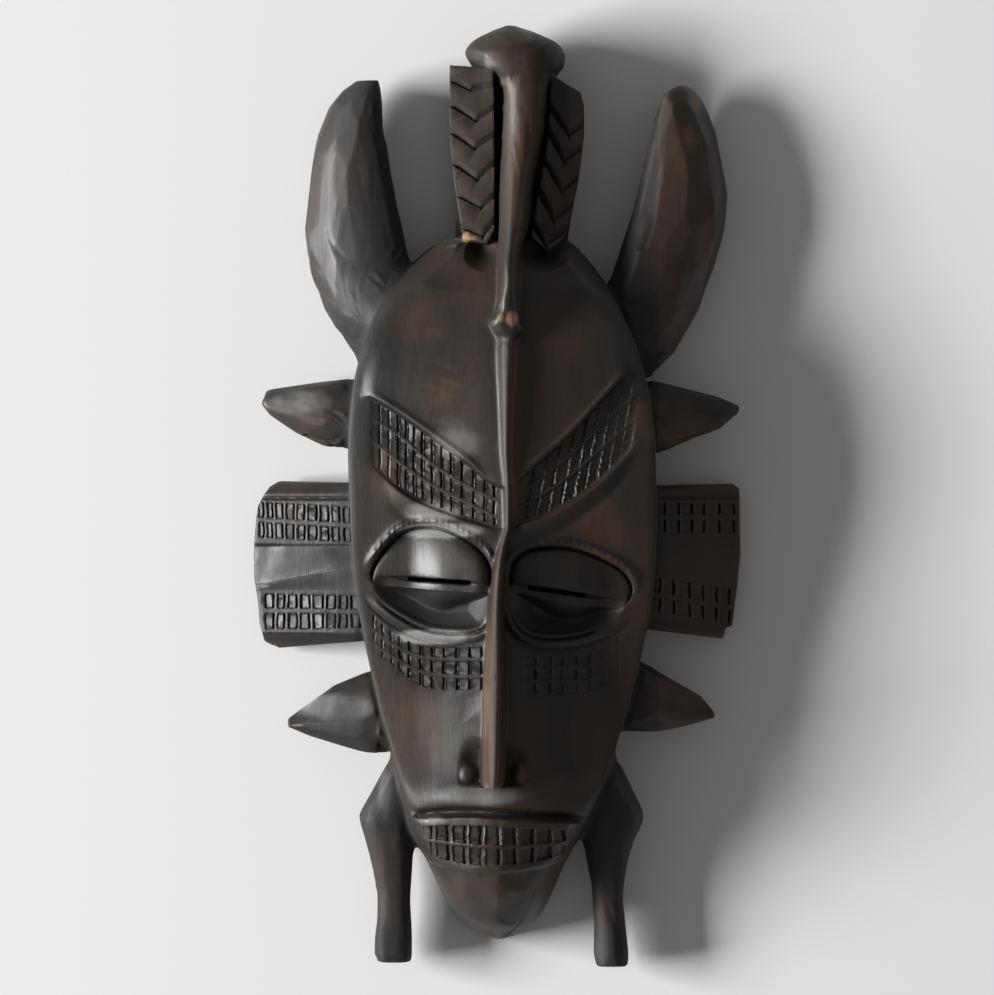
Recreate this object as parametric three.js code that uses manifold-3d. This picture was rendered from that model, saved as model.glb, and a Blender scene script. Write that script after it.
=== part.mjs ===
// A West African face mask, carved from one block of wood and hollowed behind.
// It lies on its back rim with the face up: X runs across the face, Y up the face, Z out of it.
// Every length is in millimetres.

import * as THREE from "three";
import { mergeVertices } from "three/addons/utils/BufferGeometryUtils.js";
import Module from "manifold-3d";

const wasm = await Module();
wasm.setup();

// Driving dimensions of the face: rows of [height Y, middle X, half width, crown Z].
const FACE = [
  [-178.5, 0.2, 3.0, 13],
  [-177.0, 0.2, 7.5, 19],
  [-172.6, 0.6, 13.9, 28],
  [-167.8, 0.2, 18.2, 34],
  [-158.1, 0.0, 23.2, 42],
  [-148.4, -0.2, 27.4, 47],
  [-138.7, -0.2, 32.3, 49],
  [-122.6, 1.4, 38.0, 50],
  [-102.4, 2.6, 44.4, 50.5],
  [-82.2, 2.8, 50.3, 51],
  [-58.0, 3.0, 56.1, 52.5],
  [-33.7, 2.8, 60.0, 55],
  [-9.5, 2.6, 61.4, 58],
  [14.7, 2.0, 61.6, 59],
  [39.0, 1.4, 59.8, 57],
  [55.1, 1.0, 56.3, 54],
  [75.3, 0.8, 48.5, 48],
  [89.0, 1.4, 40.5, 41],
  [98.7, 2.4, 32.0, 32],
  [103.6, 3.2, 25.5, 25],
  [106.8, 4.5, 10.0, 14],
];
const CROWN_POWER = 2.2;
const FACE_STEP = 16;

// How far out the points of a section lie, as shares of its half width, on the face and in the hollow.
const FACE_SHARES = [1, 0.965, 0.89, 0.7, 0.4, 0];
const HOLLOW_SHARES = [1, 0.94, 0.75, 0.4, 0];

// The form of the face from its middle to its rim, by [height Y, share of its height lost, how much of that slope
// is given back towards the rim, power of its rounded side, width of the side that its wall cuts off].
const FACE_FORM = [
  [-178.5, 0.12, 0, 4, 0.4],
  [-165, 0.2, 0, 5, 0.5],
  [-150, 0.26, 0, 6, 1],
  [-125, 0.3, 0.1, 20, 3],
  [-100, 0.31, 0.26, 40, 6],
  [-50, 0.31, 0.26, 40, 6],
  [0, 0.28, 0.2, 40, 6],
  [45, 0.2, 0, 40, 6],
  [75, 0.15, 0, 16, 4],
  [95, 0.12, 0, 6, 1.5],
  [106.8, 0.1, 0, 4, 0.4],
];

// The hollow behind: its wall, where it starts and stops along Y, and how it closes in at both ends.
const WALL = 10;
const HOLLOW_LOW = -150;
const HOLLOW_HIGH = 92;
const HOLLOW_END = 40;
const HOLLOW_CLOSES = 16;

// The forehead stands proud of the face above a V that runs from each temple to the nose.
const FOREHEAD_RISE = 2.2;
const FOREHEAD_INSET = 0.4;
const BROW_LEFT = [[-49, 39.5], [-29, 26], [-8, 10], [3.5, 2]];
const BROW_RIGHT = [[9, 4], [29, 25], [41, 35], [53, 40]];

// Sunk panels: each band lies between an upper and a lower edge and is parted into columns and rows.
const BROW_BANDS = [
  {
    upper: BROW_LEFT,
    lower: [[-50, 13], [-34.4, 2], [-20.4, -4.4], [-0.5, -11.7]],
    from: -48.5, to: -1, columns: 12,
  },
  {
    upper: BROW_RIGHT,
    lower: [[9, -10.5], [24, -3.8], [37, 5.3], [54, 24]],
    from: 10, to: 51, columns: 9,
  },
];
const CHEEK_BANDS = [
  {
    upper: [[-49, -45.4], [-38.4, -53.5], [-25.3, -58.2], [-5.5, -58]],
    lower: [[-49, -58], [-40.4, -67.2], [-26.8, -76.2], [-5.5, -77.5]],
    from: -48, to: -6.5, columns: 9,
  },
  {
    upper: [[10, -61], [37.7, -61], [45, -57], [53, -49]],
    lower: [[10, -78], [34, -78], [45, -72.5], [53, -62]],
    from: 11, to: 51.5, columns: 8,
  },
];
const BAND_ROWS = 3;
const RIB = 1.1;
const PANEL_SHALLOW = 0.5;
const PANEL_DEEP = 1.8;

// Eyes: half-closed lids in sunk sockets, each with a slit cut right through.
const EYES = [
  {
    x: -26, y: -33.5, halfWidth: 22.5, halfHeight: 19.5, lean: 0,
    lidX: -20, turn: -20, slit: [-24, -33.2, 22, -2],
  },
  {
    x: 26.5, y: -38, halfWidth: 24.5, halfHeight: 18.5, lean: -6,
    lidX: 22, turn: 20, slit: [22.5, -38.2, 23, -9],
  },
];
const SOCKET_DEPTH = 5;
const LID_RISE = 12.5;
const LID_OVER = 2.5;
const LID_SUNK = 2.5;
const SLIT_HEIGHT = 1.5;
const RIM_THICK = 1.5;

// Nose: rows of [Y, middle X, half width of the base, ridge Z].
const NOSE = [
  [-115.5, -1.3, 3.4, 66],
  [-110, -1.2, 5.6, 72.4],
  [-95, -1, 5.4, 71.8],
  [-70, -0.8, 4.6, 69.5],
  [-45, -0.4, 4.2, 67],
  [-26, 1, 4.2, 64.5],
  [-12, 4.2, 5, 60.8],
  [-2, 4.6, 5.4, 58],
];
const NOSTRILS = [[-8.6, -103.5], [6.2, -103.5]];
const NOSTRIL_HIGH = 48.5;

// Mouth: rows of [X, lower Y, upper Y, front Z], and the lip that swells above it.
const MOUTH = [
  [-34, -134, -126, 25],
  [-30.5, -138.5, -124.8, 34.5],
  [-24, -142, -124.2, 45],
  [-13, -145.6, -124.2, 51],
  [-0.6, -146.8, -124.3, 54.5],
  [12, -145.6, -125, 51],
  [23.5, -141, -125.6, 45],
  [29.5, -137, -126, 34.5],
  [33, -133, -127, 25],
];
const MOUTH_BACK = 12;
const LIP = { halves: [27, 8, 17], centre: [-0.5, -118, 38] };
const TEETH = { from: -31, to: 30.5, columns: 10, topRail: 2.6, lowRail: 3.4, split: 0.56 };

// Limbs: rows of [place along the limb, low edge, high edge, middle Z, half depth].
// Horns and legs are cut across Y, spikes across X.
const HORN_LEFT = [
  [52.5, -54, -47.5, 20, 8],
  [58.4, -56.8, -38.5, 21.5, 13],
  [70, -65, -29, 22, 17.5],
  [84.2, -72.1, -28.5, 20.5, 16],
  [95, -75.3, -35.4, 18.5, 14.4],
  [108.4, -76.5, -38.6, 18, 13.5],
  [137.5, -73.7, -44.2, 17, 11.5],
  [155, -67.8, -46.5, 16, 9.5],
  [163.5, -62.8, -47.4, 15.5, 8],
  [168.2, -57.5, -48, 15, 6],
];
const HORN_RIGHT = [
  [48.5, 57, 60, 14, 5],
  [54, 52, 65.5, 15, 9],
  [69.7, 44, 76.9, 17, 13],
  [93.9, 48.7, 87, 18, 14],
  [108.4, 53.3, 90.7, 18, 13.5],
  [123, 57.5, 91.7, 17.5, 12.5],
  [141, 62, 88.5, 17, 11],
  [157, 66.5, 83, 16, 8.5],
  [165.4, 71.2, 77.2, 15, 4],
];
const SPIKES = [
  [
    [-94.3, 36.8, 40.8, 17, 3],
    [-90.7, 33.2, 43.4, 17, 5.5],
    [-79.4, 26, 45.4, 17.5, 8.5],
    [-65, 20.6, 47.2, 18, 11],
    [-43, 18.5, 47.8, 18, 12],
  ],
  [
    [43, 16, 47.5, 18, 12],
    [66, 18.3, 46.2, 18, 11],
    [78.1, 23.2, 43.6, 17.5, 8.5],
    [90, 28, 40.6, 17, 6],
    [96.9, 33.5, 37.2, 17, 3],
  ],
  [
    [-83.6, -92.5, -89, 15, 2.5],
    [-78.1, -95.1, -84.8, 15, 4.5],
    [-66, -98.7, -77, 16, 7.5],
    [-51, -101.6, -70.9, 17, 10],
    [-33, -101.5, -68.5, 17, 10],
  ],
  [
    [38, -94.2, -64, 17, 10],
    [58, -94.7, -66.4, 17, 10],
    [70, -93.4, -73, 16, 8],
    [82.6, -90.7, -80.6, 15, 4.5],
    [87.2, -88.9, -86, 15, 2.5],
  ],
];
const LEG_LEFT = [
  [-188, -46.6, -36.4, 14, 5],
  [-186.5, -48.7, -34.8, 14, 6.7],
  [-184, -49.4, -34.3, 14, 7.2],
  [-178, -49.4, -34.3, 14, 7.3],
  [-170, -48.6, -34.7, 14.2, 7.1],
  [-162, -48.5, -34.9, 14.5, 7],
  [-148.4, -50.7, -34.1, 16, 8],
  [-138.7, -53.1, -33.3, 17, 9.5],
  [-129.4, -55.5, -33, 17.5, 11],
  [-118, -50.3, -33, 18, 11],
  [-104, -42.6, -33, 18, 8],
];
const LEG_RIGHT = [
  [-189.7, 41.2, 51.8, 14, 5],
  [-188, 39.7, 53.1, 14, 6.7],
  [-184, 39.2, 53.2, 14, 7.3],
  [-178, 39.1, 52.6, 14, 7.3],
  [-171, 39, 51.5, 14.2, 7.1],
  [-162.9, 38.6, 51.1, 14.5, 7],
  [-148.4, 36.5, 52.7, 16, 8],
  [-138.7, 34.5, 55.5, 17, 9.5],
  [-129.4, 32.3, 59.2, 17.5, 11],
  [-117, 31.5, 54.3, 18, 11],
  [-102, 33, 46.5, 18, 8],
];
const LIMB_SIDES = 8;
const LIMB_STEPS = 11;
const SPIKE_STEPS = 5;
const LIMB_POWER = 2.2;
const HORN_LEAN = 0.42;

// Ear flanges: an outline in XY, how much they fall per millimetre beyond the root, and a ridged profile
// as rows of [Y, Z].
const FLANGE_LEFT = {
  outline: [
    [-43, 5.7], [-88.3, 6.7], [-93.5, 3.5], [-97.5, -3], [-98.6, -22],
    [-97.5, -38], [-95, -57], [-92.8, -61.8], [-43, -55.3],
  ],
  bands: [
    { rows: [[-1.6, -7.4], [-9.4, -17]], from: -97, to: -58, slant: -2.2 },
    { rows: [[-38.6, -44.8], [-46.8, -54]], from: -96, to: -55.5, slant: 1 },
  ],
  columns: 9,
  root: -57,
  fall: 0.34,
};
const FLANGE_RIGHT = {
  outline: [
    [45, 4], [73, 5.2], [95.5, 5.6], [98.2, 3.6], [98.7, -22],
    [96.8, -40], [95.2, -52], [92.7, -52.8], [91, -57.5], [45, -51.9],
  ],
  bands: [
    { rows: [[-1.2, -7.6], [-8.6, -15.4]], from: 61, to: 96.5, slant: 0 },
    { rows: [[-33.6, -40.2], [-41.4, -48.6]], from: 61, to: 95.5, slant: -3.6 },
  ],
  columns: 7,
  root: 59,
  fall: 0.26,
};
const FLANGE_PROFILE = [
  [8, 14], [5, 17], [-1, 21.5], [-18, 21.5], [-25, 24.5],
  [-30, 24], [-36.5, 21.5], [-55, 21], [-60, 17], [-64, 13],
];
const FLANGE_BACK = 4.5;

// The bird on top: body and beak as limb rows across Y, then the ridge below its beak.
const BIRD = [
  [64, 0.5, 8.8, 53, 4],
  [66.5, -1.5, 13, 54, 5.5],
  [70, -3, 14.5, 54.5, 6],
  [75, 0, 11.2, 52, 9],
  [95, 0.2, 11.8, 36, 22],
  [111.7, 0.6, 13, 30, 21],
  [127.8, 0.6, 15.1, 27, 18],
  [148, 0.6, 19.6, 25, 16],
  [163, 0.4, 21.4, 24, 16],
  [168.5, -2.5, 23.2, 23.5, 16],
  [174, -10.2, 26.8, 23, 17],
  [178.5, -12.4, 27.3, 22.5, 17],
  [183.5, -10, 22.8, 22, 14.5],
  [187.5, -3.5, 15.3, 21.5, 11],
  [190, 3, 10.5, 21.5, 6],
];
const BIRD_STEPS = 16;
const RIDGE = [
  [-10, 4.2, 2.4, 60],
  [22, 3.4, 2.8, 64],
  [45, 3.4, 3.4, 62.5],
  [58, 3.6, 4.2, 60],
  [66, 3.8, 4.4, 57],
];

// Wings: an outline in XY, a tilt about Y, and chevrons given by [apex X, apex Y].
const WINGS = [
  {
    outline: [
      [-19, 173.3], [-1.8, 172.2], [-1, 150], [-1, 107], [-4, 101.8],
      [-13.5, 103.5], [-15, 112], [-17.2, 128], [-18.9, 145],
    ],
    apexFrom: [-10.4, 164.3],
    apexTo: [-6, 106],
    front: 36.2,
    tilt: -4,
  },
  {
    outline: [
      [22, 169], [33, 164.5], [35.2, 158], [35.4, 147], [33.7, 132], [30.5, 116],
      [27.5, 103], [20.5, 98.5], [13.5, 105], [16.5, 122], [20.5, 145],
    ],
    apexFrom: [31, 157],
    apexTo: [20, 102],
    front: 31.8,
    tilt: 12.4,
  },
];
const WING_BACK = 9;
const WEB = {
  outline: [[-17, 100], [28, 100], [31, 122], [29, 152], [22, 166], [4, 171.5], [-14, 171.5], [-16, 140]],
  front: 15,
};
const CHEVRONS = 6;
const CHEVRON_ARM = 15;
const CHEVRON_DROP = 10;
const CHEVRON_WIDE = 3.4;
const CHEVRON_DEEP = 1.8;

const FAR = 200;
const CUT_OVER = 6;

// Smooth value of one column of a table whose first column rises: cubic steps that never overshoot.
function valueAt(rows, column, place) {
  const last = rows.length - 1;
  const at = THREE.MathUtils.clamp(place, rows[0][0], rows[last][0]);
  let i = 0;
  while (i < last - 1 && at > rows[i + 1][0]) i += 1;
  const secant = (k) => (rows[k + 1][column] - rows[k][column]) / (rows[k + 1][0] - rows[k][0]);
  const slope = (k) => {
    if (k === 0) return secant(0);
    if (k === last) return secant(last - 1);
    const before = secant(k - 1);
    const after = secant(k);
    return before * after <= 0 ? 0 : (2 * before * after) / (before + after);
  };
  const gap = rows[i + 1][0] - rows[i][0];
  const t = (at - rows[i][0]) / gap;
  const [a, b] = [rows[i][column], rows[i + 1][column]];
  return (
    a * (1 + 2 * t) * (1 - t) ** 2 +
    b * t * t * (3 - 2 * t) +
    gap * slope(i) * t * (1 - t) ** 2 -
    gap * slope(i + 1) * t * t * (1 - t)
  );
}

// Evenly spread places from the first to the last row of a table, ends included.
function places(rows, steps) {
  const [first, last] = [rows[0][0], rows[rows.length - 1][0]];
  return Array.from({ length: steps + 1 }, (_, i) => THREE.MathUtils.lerp(first, last, i / steps));
}

// A closed geometry as a solid that can be joined and cut.
function solid(geometry) {
  const bare = new THREE.BufferGeometry().setAttribute("position", geometry.getAttribute("position"));
  if (geometry.index) bare.setIndex(geometry.index);
  const merged = mergeVertices(bare, 1e-4);
  return new wasm.Manifold(
    new wasm.Mesh({
      numProp: 3,
      vertProperties: new Float32Array(merged.attributes.position.array),
      triVerts: new Uint32Array(merged.index.array),
    }),
  );
}

// A skin over rings of equal length, closed by a fan at each end, with its faces turned out.
function lofted(rings) {
  const count = rings[0].length;
  const points = rings.flat();
  const triangles = [];
  for (let r = 0; r < rings.length - 1; r += 1) {
    for (let k = 0; k < count; k += 1) {
      const [a, b] = [r * count + k, r * count + ((k + 1) % count)];
      triangles.push([a, b, b + count], [a, b + count, a + count]);
    }
  }
  const top = (rings.length - 1) * count;
  for (let k = 1; k < count - 1; k += 1) {
    triangles.push([0, k + 1, k], [top, top + k, top + k + 1]);
  }
  const volume = triangles.reduce((sum, [a, b, c]) => {
    const normal = new THREE.Vector3().crossVectors(points[b], points[c]);
    return sum + points[a].dot(normal);
  }, 0);
  const index = triangles.flatMap(([a, b, c]) => (volume < 0 ? [a, c, b] : [a, b, c]));
  const geometry = new THREE.BufferGeometry().setFromPoints(points);
  return solid(geometry.setIndex(index));
}

// An outline in XY pushed along Z between two heights.
function prism(outline, low, high) {
  const shape = new THREE.Shape(outline.map(([x, y]) => new THREE.Vector2(x, y)));
  const geometry = new THREE.ExtrudeGeometry(shape, { depth: high - low, bevelEnabled: false });
  return solid(geometry.translate(0, 0, low));
}

// Height of a section at a share of its half width: two slopes that meet over rounded sides.
function sectionHeight(y, crown, halfWidth, share) {
  const [lost, back, power, cut] = [1, 2, 3, 4].map((column) => valueAt(FACE_FORM, column, y));
  const out = (share * halfWidth) / (halfWidth + cut);
  return crown * (1 - lost * (out - back * out ** 2)) * (1 - out ** power) ** (1 / CROWN_POWER);
}

// Height of the plain face over a point.
function faceHeight(x, y) {
  const halfWidth = valueAt(FACE, 2, y);
  const share = Math.min(1, Math.abs(x - valueAt(FACE, 1, y)) / halfWidth);
  return sectionHeight(y, valueAt(FACE, 3, y), halfWidth, share);
}

// The plain face, or a form whose width and height are grown or shrunk from it, with a flat back.
function faceForm(levels, shares, growWidth, growHeight, back) {
  const sides = [...shares, ...shares.slice(0, -1).reverse().map((share) => -share)];
  const rings = levels.map((y) => {
    const middle = valueAt(FACE, 1, y);
    const halfWidth = valueAt(FACE, 2, y) + growWidth(y);
    const crown = valueAt(FACE, 3, y) + growHeight(y);
    const front = sides.map((side) => {
      const z = sectionHeight(y, crown, halfWidth, Math.abs(side));
      return new THREE.Vector3(middle + halfWidth * side, y, z);
    });
    const [left, right] = [middle - halfWidth, middle + halfWidth];
    return [...front, new THREE.Vector3(left, y, back), new THREE.Vector3(right, y, back)];
  });
  return lofted(rings);
}

// The levels of the face: every row of its table, with wide gaps parted.
function faceLevels(low, high, step) {
  const levels = [low];
  for (const [y] of FACE.filter(([place]) => place > low && place < high).concat([[high]])) {
    const from = levels[levels.length - 1];
    const parts = Math.ceil((y - from) / step);
    for (let k = 1; k <= parts; k += 1) levels.push(from + ((y - from) * k) / parts);
  }
  return levels;
}

// A limb with rounded sections that follow a table, cut across Y or across X. A lean moves its crest sideways.
function limb(rows, acrossY, steps, power = LIMB_POWER, lean = 0) {
  const rings = places(rows, steps).map((place) => {
    const [low, high, middle, depth] = [1, 2, 3, 4].map((column) => valueAt(rows, column, place));
    return Array.from({ length: LIMB_SIDES }, (_, k) => {
      const angle = (2 * Math.PI * k) / LIMB_SIDES;
      const side = Math.sign(Math.cos(angle)) * Math.abs(Math.cos(angle)) ** (2 / power);
      const rise = Math.sign(Math.sin(angle)) * Math.abs(Math.sin(angle)) ** (2 / power);
      const z = middle + rise * depth;
      const reach = (low + high) / 2 + (side * (high - low)) / 2 + lean * rise * depth;
      return acrossY ? new THREE.Vector3(reach, place, z) : new THREE.Vector3(place, reach, z);
    });
  });
  return lofted(rings);
}

// A ball scaled to three half widths, tilted and moved into place.
function pebble(halves, turn, lean, centre, around = 16, down = 10) {
  const geometry = new THREE.SphereGeometry(1, around, down)
    .scale(...halves)
    .rotateZ(THREE.MathUtils.degToRad(lean))
    .rotateY(THREE.MathUtils.degToRad(turn))
    .translate(...centre);
  return solid(geometry);
}

// A cutter for one sunk panel: its floor falls from the shallow left to the deep right.
function panelCutter(corners, surface, shallow, deep) {
  const depths = [shallow, deep, deep, shallow];
  const floor = corners.map(([x, y], k) => new THREE.Vector3(x, y, surface(x, y) - depths[k]));
  const roof = corners.map(([x, y]) => new THREE.Vector3(x, y, surface(x, y) + CUT_OVER));
  return lofted([floor, roof]);
}

// The corners of the panels of a band between two edges, ribs left between them.
function bandPanels(band, rows) {
  const step = (band.to - band.from) / band.columns;
  const edge = (x, share) =>
    THREE.MathUtils.lerp(valueAt(band.upper, 1, x), valueAt(band.lower, 1, x), share);
  const panels = [];
  for (let column = 0; column < band.columns; column += 1) {
    const left = band.from + column * step + RIB / 2;
    const right = left + step - RIB;
    for (let row = 0; row < rows; row += 1) {
      const [top, bottom] = [row / rows, (row + 1) / rows];
      panels.push([
        [left, edge(left, bottom) + RIB / 2],
        [right, edge(right, bottom) + RIB / 2],
        [right, edge(right, top) - RIB / 2],
        [left, edge(left, top) - RIB / 2],
      ]);
    }
  }
  return panels;
}

function shell() {
  const levels = faceLevels(FACE[0][0], FACE[FACE.length - 1][0], FACE_STEP);
  const face = faceForm(levels, FACE_SHARES, () => 0, () => 0, 0);
  const forehead = faceLevels(-20, 104, FACE_STEP);
  const grown = faceForm(forehead, FACE_SHARES, () => -FOREHEAD_INSET, () => FOREHEAD_RISE, 0);
  const above = [...BROW_LEFT, [6.2, 0.5], ...BROW_RIGHT, [70, 44], [70, 120], [-70, 120], [-70, 44]];
  return face.add(grown.intersect(prism(above, 2, FAR)));
}

function hollow() {
  const growAt = (y) => {
    const near = Math.min(y - HOLLOW_LOW, HOLLOW_HIGH - y);
    return -WALL - HOLLOW_CLOSES * Math.max(0, 1 - near / HOLLOW_END) ** 2.5;
  };
  return faceForm(faceLevels(HOLLOW_LOW, HOLLOW_HIGH, 36), HOLLOW_SHARES, growAt, growAt, -CUT_OVER);
}

function socketOutline(eye, shrink) {
  return Array.from({ length: 12 }, (_, k) => {
    const angle = (2 * Math.PI * k) / 12;
    const point = new THREE.Vector2(
      (eye.halfWidth - shrink) * Math.cos(angle),
      (eye.halfHeight - shrink) * Math.sin(angle),
    ).rotateAround(new THREE.Vector2(), THREE.MathUtils.degToRad(eye.lean));
    return [eye.x + point.x, eye.y + point.y];
  });
}

function withEyes(mask) {
  const sink = () => -SOCKET_DEPTH;
  const floor = faceForm([-66, -46, -26, -6], FACE_SHARES, sink, sink, 0);
  let carved = mask;
  for (const eye of EYES) {
    carved = carved.subtract(prism(socketOutline(eye, 0), 10, FAR).subtract(floor));
    const base = faceHeight(eye.lidX, eye.y) - SOCKET_DEPTH - LID_SUNK;
    const halves = [eye.halfWidth + LID_OVER, eye.halfHeight + LID_OVER, LID_RISE];
    const lid = pebble(halves, eye.turn, eye.lean, [eye.lidX, eye.y, base], 14, 8);
    carved = carved.add(lid.intersect(prism(socketOutline(eye, 1.4), 10, FAR)).subtract(hollow()));
    const [x, y, width, lean] = eye.slit;
    const slit = new THREE.BoxGeometry(width, SLIT_HEIGHT, FAR)
      .rotateZ(THREE.MathUtils.degToRad(lean))
      .translate(x, y, 0);
    carved = carved.subtract(solid(slit));
  }
  return carved;
}

// A low bead on the cheek under each eye.
function eyeRims() {
  return EYES.map((eye) => {
    const points = Array.from({ length: 8 }, (_, k) => {
      const angle = Math.PI * (1.08 + (0.84 * k) / 7);
      const x = eye.x + (eye.halfWidth + 1) * Math.cos(angle);
      const y = eye.y + (eye.halfHeight + 1.2) * Math.sin(angle);
      return new THREE.Vector3(x, y, faceHeight(x, y) - 0.2);
    });
    const section = new THREE.Shape(
      Array.from({ length: 4 }, (_, k) => {
        const angle = (Math.PI * k) / 2;
        return new THREE.Vector2(RIM_THICK * Math.cos(angle), RIM_THICK * Math.sin(angle));
      }),
    );
    return solid(
      new THREE.ExtrudeGeometry(section, { steps: 6, extrudePath: new THREE.CatmullRomCurve3(points) }),
    );
  });
}

// A ridge with a sharp crest and a buried foot, from rows of [Y, middle X, half width, crest Z].
function ridge(rows, steps, foot) {
  const rings = places(rows, steps).map((y) => {
    const [middle, half, crest] = [1, 2, 3].map((column) => valueAt(rows, column, y));
    return [
      new THREE.Vector3(middle - half, y, crest - foot),
      new THREE.Vector3(middle + half, y, crest - foot),
      new THREE.Vector3(middle + 0.9, y, crest - 0.6),
      new THREE.Vector3(middle, y, crest),
      new THREE.Vector3(middle - 0.9, y, crest - 0.6),
    ];
  });
  return lofted(rings);
}

function nose() {
  const wings = NOSTRILS.map(([x, y]) => pebble([5, 9, 8], 0, x < 0 ? -8 : 8, [x, y, NOSTRIL_HIGH], 8, 6));
  return [ridge(NOSE, 7, 22), ...wings];
}

function mouthFront(x) {
  return valueAt(MOUTH, 3, x);
}

function mouth() {
  const rings = places(MOUTH, 10).map((x) => {
    const [low, high, front] = [1, 2, 3].map((column) => valueAt(MOUTH, column, x));
    return [
      new THREE.Vector3(x, low - 1.5, MOUTH_BACK),
      new THREE.Vector3(x, high, MOUTH_BACK),
      new THREE.Vector3(x, high, front),
      new THREE.Vector3(x, low, front - 1.5),
    ];
  });
  const lip = pebble(LIP.halves, 0, 0, LIP.centre, 12, 6);
  return lofted(rings).add(lip);
}

function teeth() {
  const step = (TEETH.to - TEETH.from) / TEETH.columns;
  const cutters = [];
  for (let column = 0; column < TEETH.columns; column += 1) {
    const left = TEETH.from + column * step + RIB / 2;
    const right = left + step - RIB;
    const edge = (x, share) => {
      const [low, high] = [valueAt(MOUTH, 1, x) + TEETH.lowRail, valueAt(MOUTH, 2, x) - TEETH.topRail];
      return THREE.MathUtils.lerp(high, low, share);
    };
    for (const [top, bottom] of [[0, TEETH.split - 0.03], [TEETH.split + 0.05, 1]]) {
      const corners = [
        [left, edge(left, bottom)],
        [right, edge(right, bottom)],
        [right, edge(right, top)],
        [left, edge(left, top)],
      ];
      cutters.push(panelCutter(corners, mouthFront, PANEL_SHALLOW + 0.6, PANEL_DEEP + 0.6));
    }
  }
  return cutters;
}

function flangeFront(flange, x, y) {
  const rows = [...FLANGE_PROFILE].reverse();
  return valueAt(rows, 1, y) - flange.fall * Math.max(0, Math.abs(x) - Math.abs(flange.root));
}

function flangePlate(flange) {
  const farX = flange.outline[3][0] * 1.1;
  const ring = (x) => {
    const fall = flange.fall * Math.max(0, Math.abs(x) - Math.abs(flange.root));
    const front = FLANGE_PROFILE.map(([y, z]) => new THREE.Vector3(x, y, z - fall));
    const [first, last] = [FLANGE_PROFILE[0][0], FLANGE_PROFILE[FLANGE_PROFILE.length - 1][0]];
    return [...front, new THREE.Vector3(x, last, FLANGE_BACK), new THREE.Vector3(x, first, FLANGE_BACK)];
  };
  const plate = lofted([ring(flange.outline[0][0]), ring(flange.root), ring(farX)]);
  return plate.intersect(prism(flange.outline, 0, FAR));
}

function flangePanels(flange) {
  const cutters = [];
  for (const band of flange.bands) {
    const step = (band.to - band.from) / flange.columns;
    for (const [top, bottom] of band.rows) {
      for (let column = 0; column < flange.columns; column += 1) {
        const left = band.from + column * step + RIB / 2;
        const right = left + step - RIB;
        const shift = (x) => (band.slant * (x - band.from)) / (band.to - band.from);
        const corners = [
          [left, bottom + shift(left)],
          [right, bottom + shift(right)],
          [right, top + shift(right)],
          [left, top + shift(left)],
        ];
        cutters.push(panelCutter(corners, (x, y) => flangeFront(flange, x, y), PANEL_SHALLOW, PANEL_DEEP));
      }
    }
  }
  return cutters;
}

// A wing: a plate with V-shaped grooves across it, tilted about its own middle line.
function wing({ outline, apexFrom, apexTo, front, tilt }) {
  let plate = prism(outline, WING_BACK, front);
  for (let k = 0; k < CHEVRONS; k += 1) {
    const apex = new THREE.Vector2(...apexFrom).lerp(new THREE.Vector2(...apexTo), k / (CHEVRONS - 1));
    const groove = [-1, 0, 1].map((side) => {
      const [x, y] = [apex.x + side * CHEVRON_ARM, apex.y + Math.abs(side) * CHEVRON_DROP];
      return [
        new THREE.Vector3(x, y + CHEVRON_WIDE, front + 0.2),
        new THREE.Vector3(x, y - CHEVRON_WIDE / 2, front + 0.2),
        new THREE.Vector3(x, y, front - CHEVRON_DEEP),
      ];
    });
    plate = plate.subtract(lofted(groove));
  }
  const middle = (outline[0][0] + outline[1][0]) / 2;
  return turnedAboutY(plate, tilt, middle, front);
}

// A solid turned about a line along Y that passes through (x, z).
function turnedAboutY(made, degrees, x, z) {
  const { numProp, vertProperties, triVerts } = made.getMesh();
  const points = Array.from({ length: vertProperties.length / numProp }, (_, k) =>
    new THREE.Vector3(...vertProperties.slice(k * numProp, k * numProp + 3)),
  );
  const geometry = new THREE.BufferGeometry().setFromPoints(points).setIndex([...triVerts]);
  const angle = THREE.MathUtils.degToRad(degrees);
  return solid(geometry.translate(-x, 0, -z).rotateY(angle).translate(x, 0, z));
}

function crest() {
  const web = prism(WEB.outline, WING_BACK, WEB.front);
  return [limb(BIRD, true, BIRD_STEPS, 2.1), ridge(RIDGE, 5, 16), web, ...WINGS.map(wing)];
}

function limbs() {
  return [
    limb(HORN_LEFT, true, LIMB_STEPS, LIMB_POWER, HORN_LEAN),
    limb(HORN_RIGHT, true, LIMB_STEPS, LIMB_POWER, -HORN_LEAN),
    ...[LEG_LEFT, LEG_RIGHT].map((rows) => limb(rows, true, LIMB_STEPS)),
    ...SPIKES.map((rows) => limb(rows, false, SPIKE_STEPS)),
  ];
}

// Every growth that lies outside the hollow joins the shell; then the panels are cut.
function carving() {
  const flanges = [FLANGE_LEFT, FLANGE_RIGHT];
  const inside = hollow();
  const growths = [...limbs(), ...flanges.map(flangePlate), ...crest(), ...nose(), mouth(), ...eyeRims()];
  const grown = growths.reduce((mask, piece) => mask.add(piece), withEyes(shell())).subtract(inside);
  const onFace = (x, y) => faceHeight(x, y);
  const cutters = [
    ...[...BROW_BANDS, ...CHEEK_BANDS].flatMap((band) =>
      bandPanels(band, BAND_ROWS).map((corners) => panelCutter(corners, onFace, PANEL_SHALLOW, PANEL_DEEP)),
    ),
    ...teeth(),
    ...flanges.flatMap(flangePanels),
  ];
  return cutters.reduce((mask, cutter) => mask.subtract(cutter), grown);
}

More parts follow.
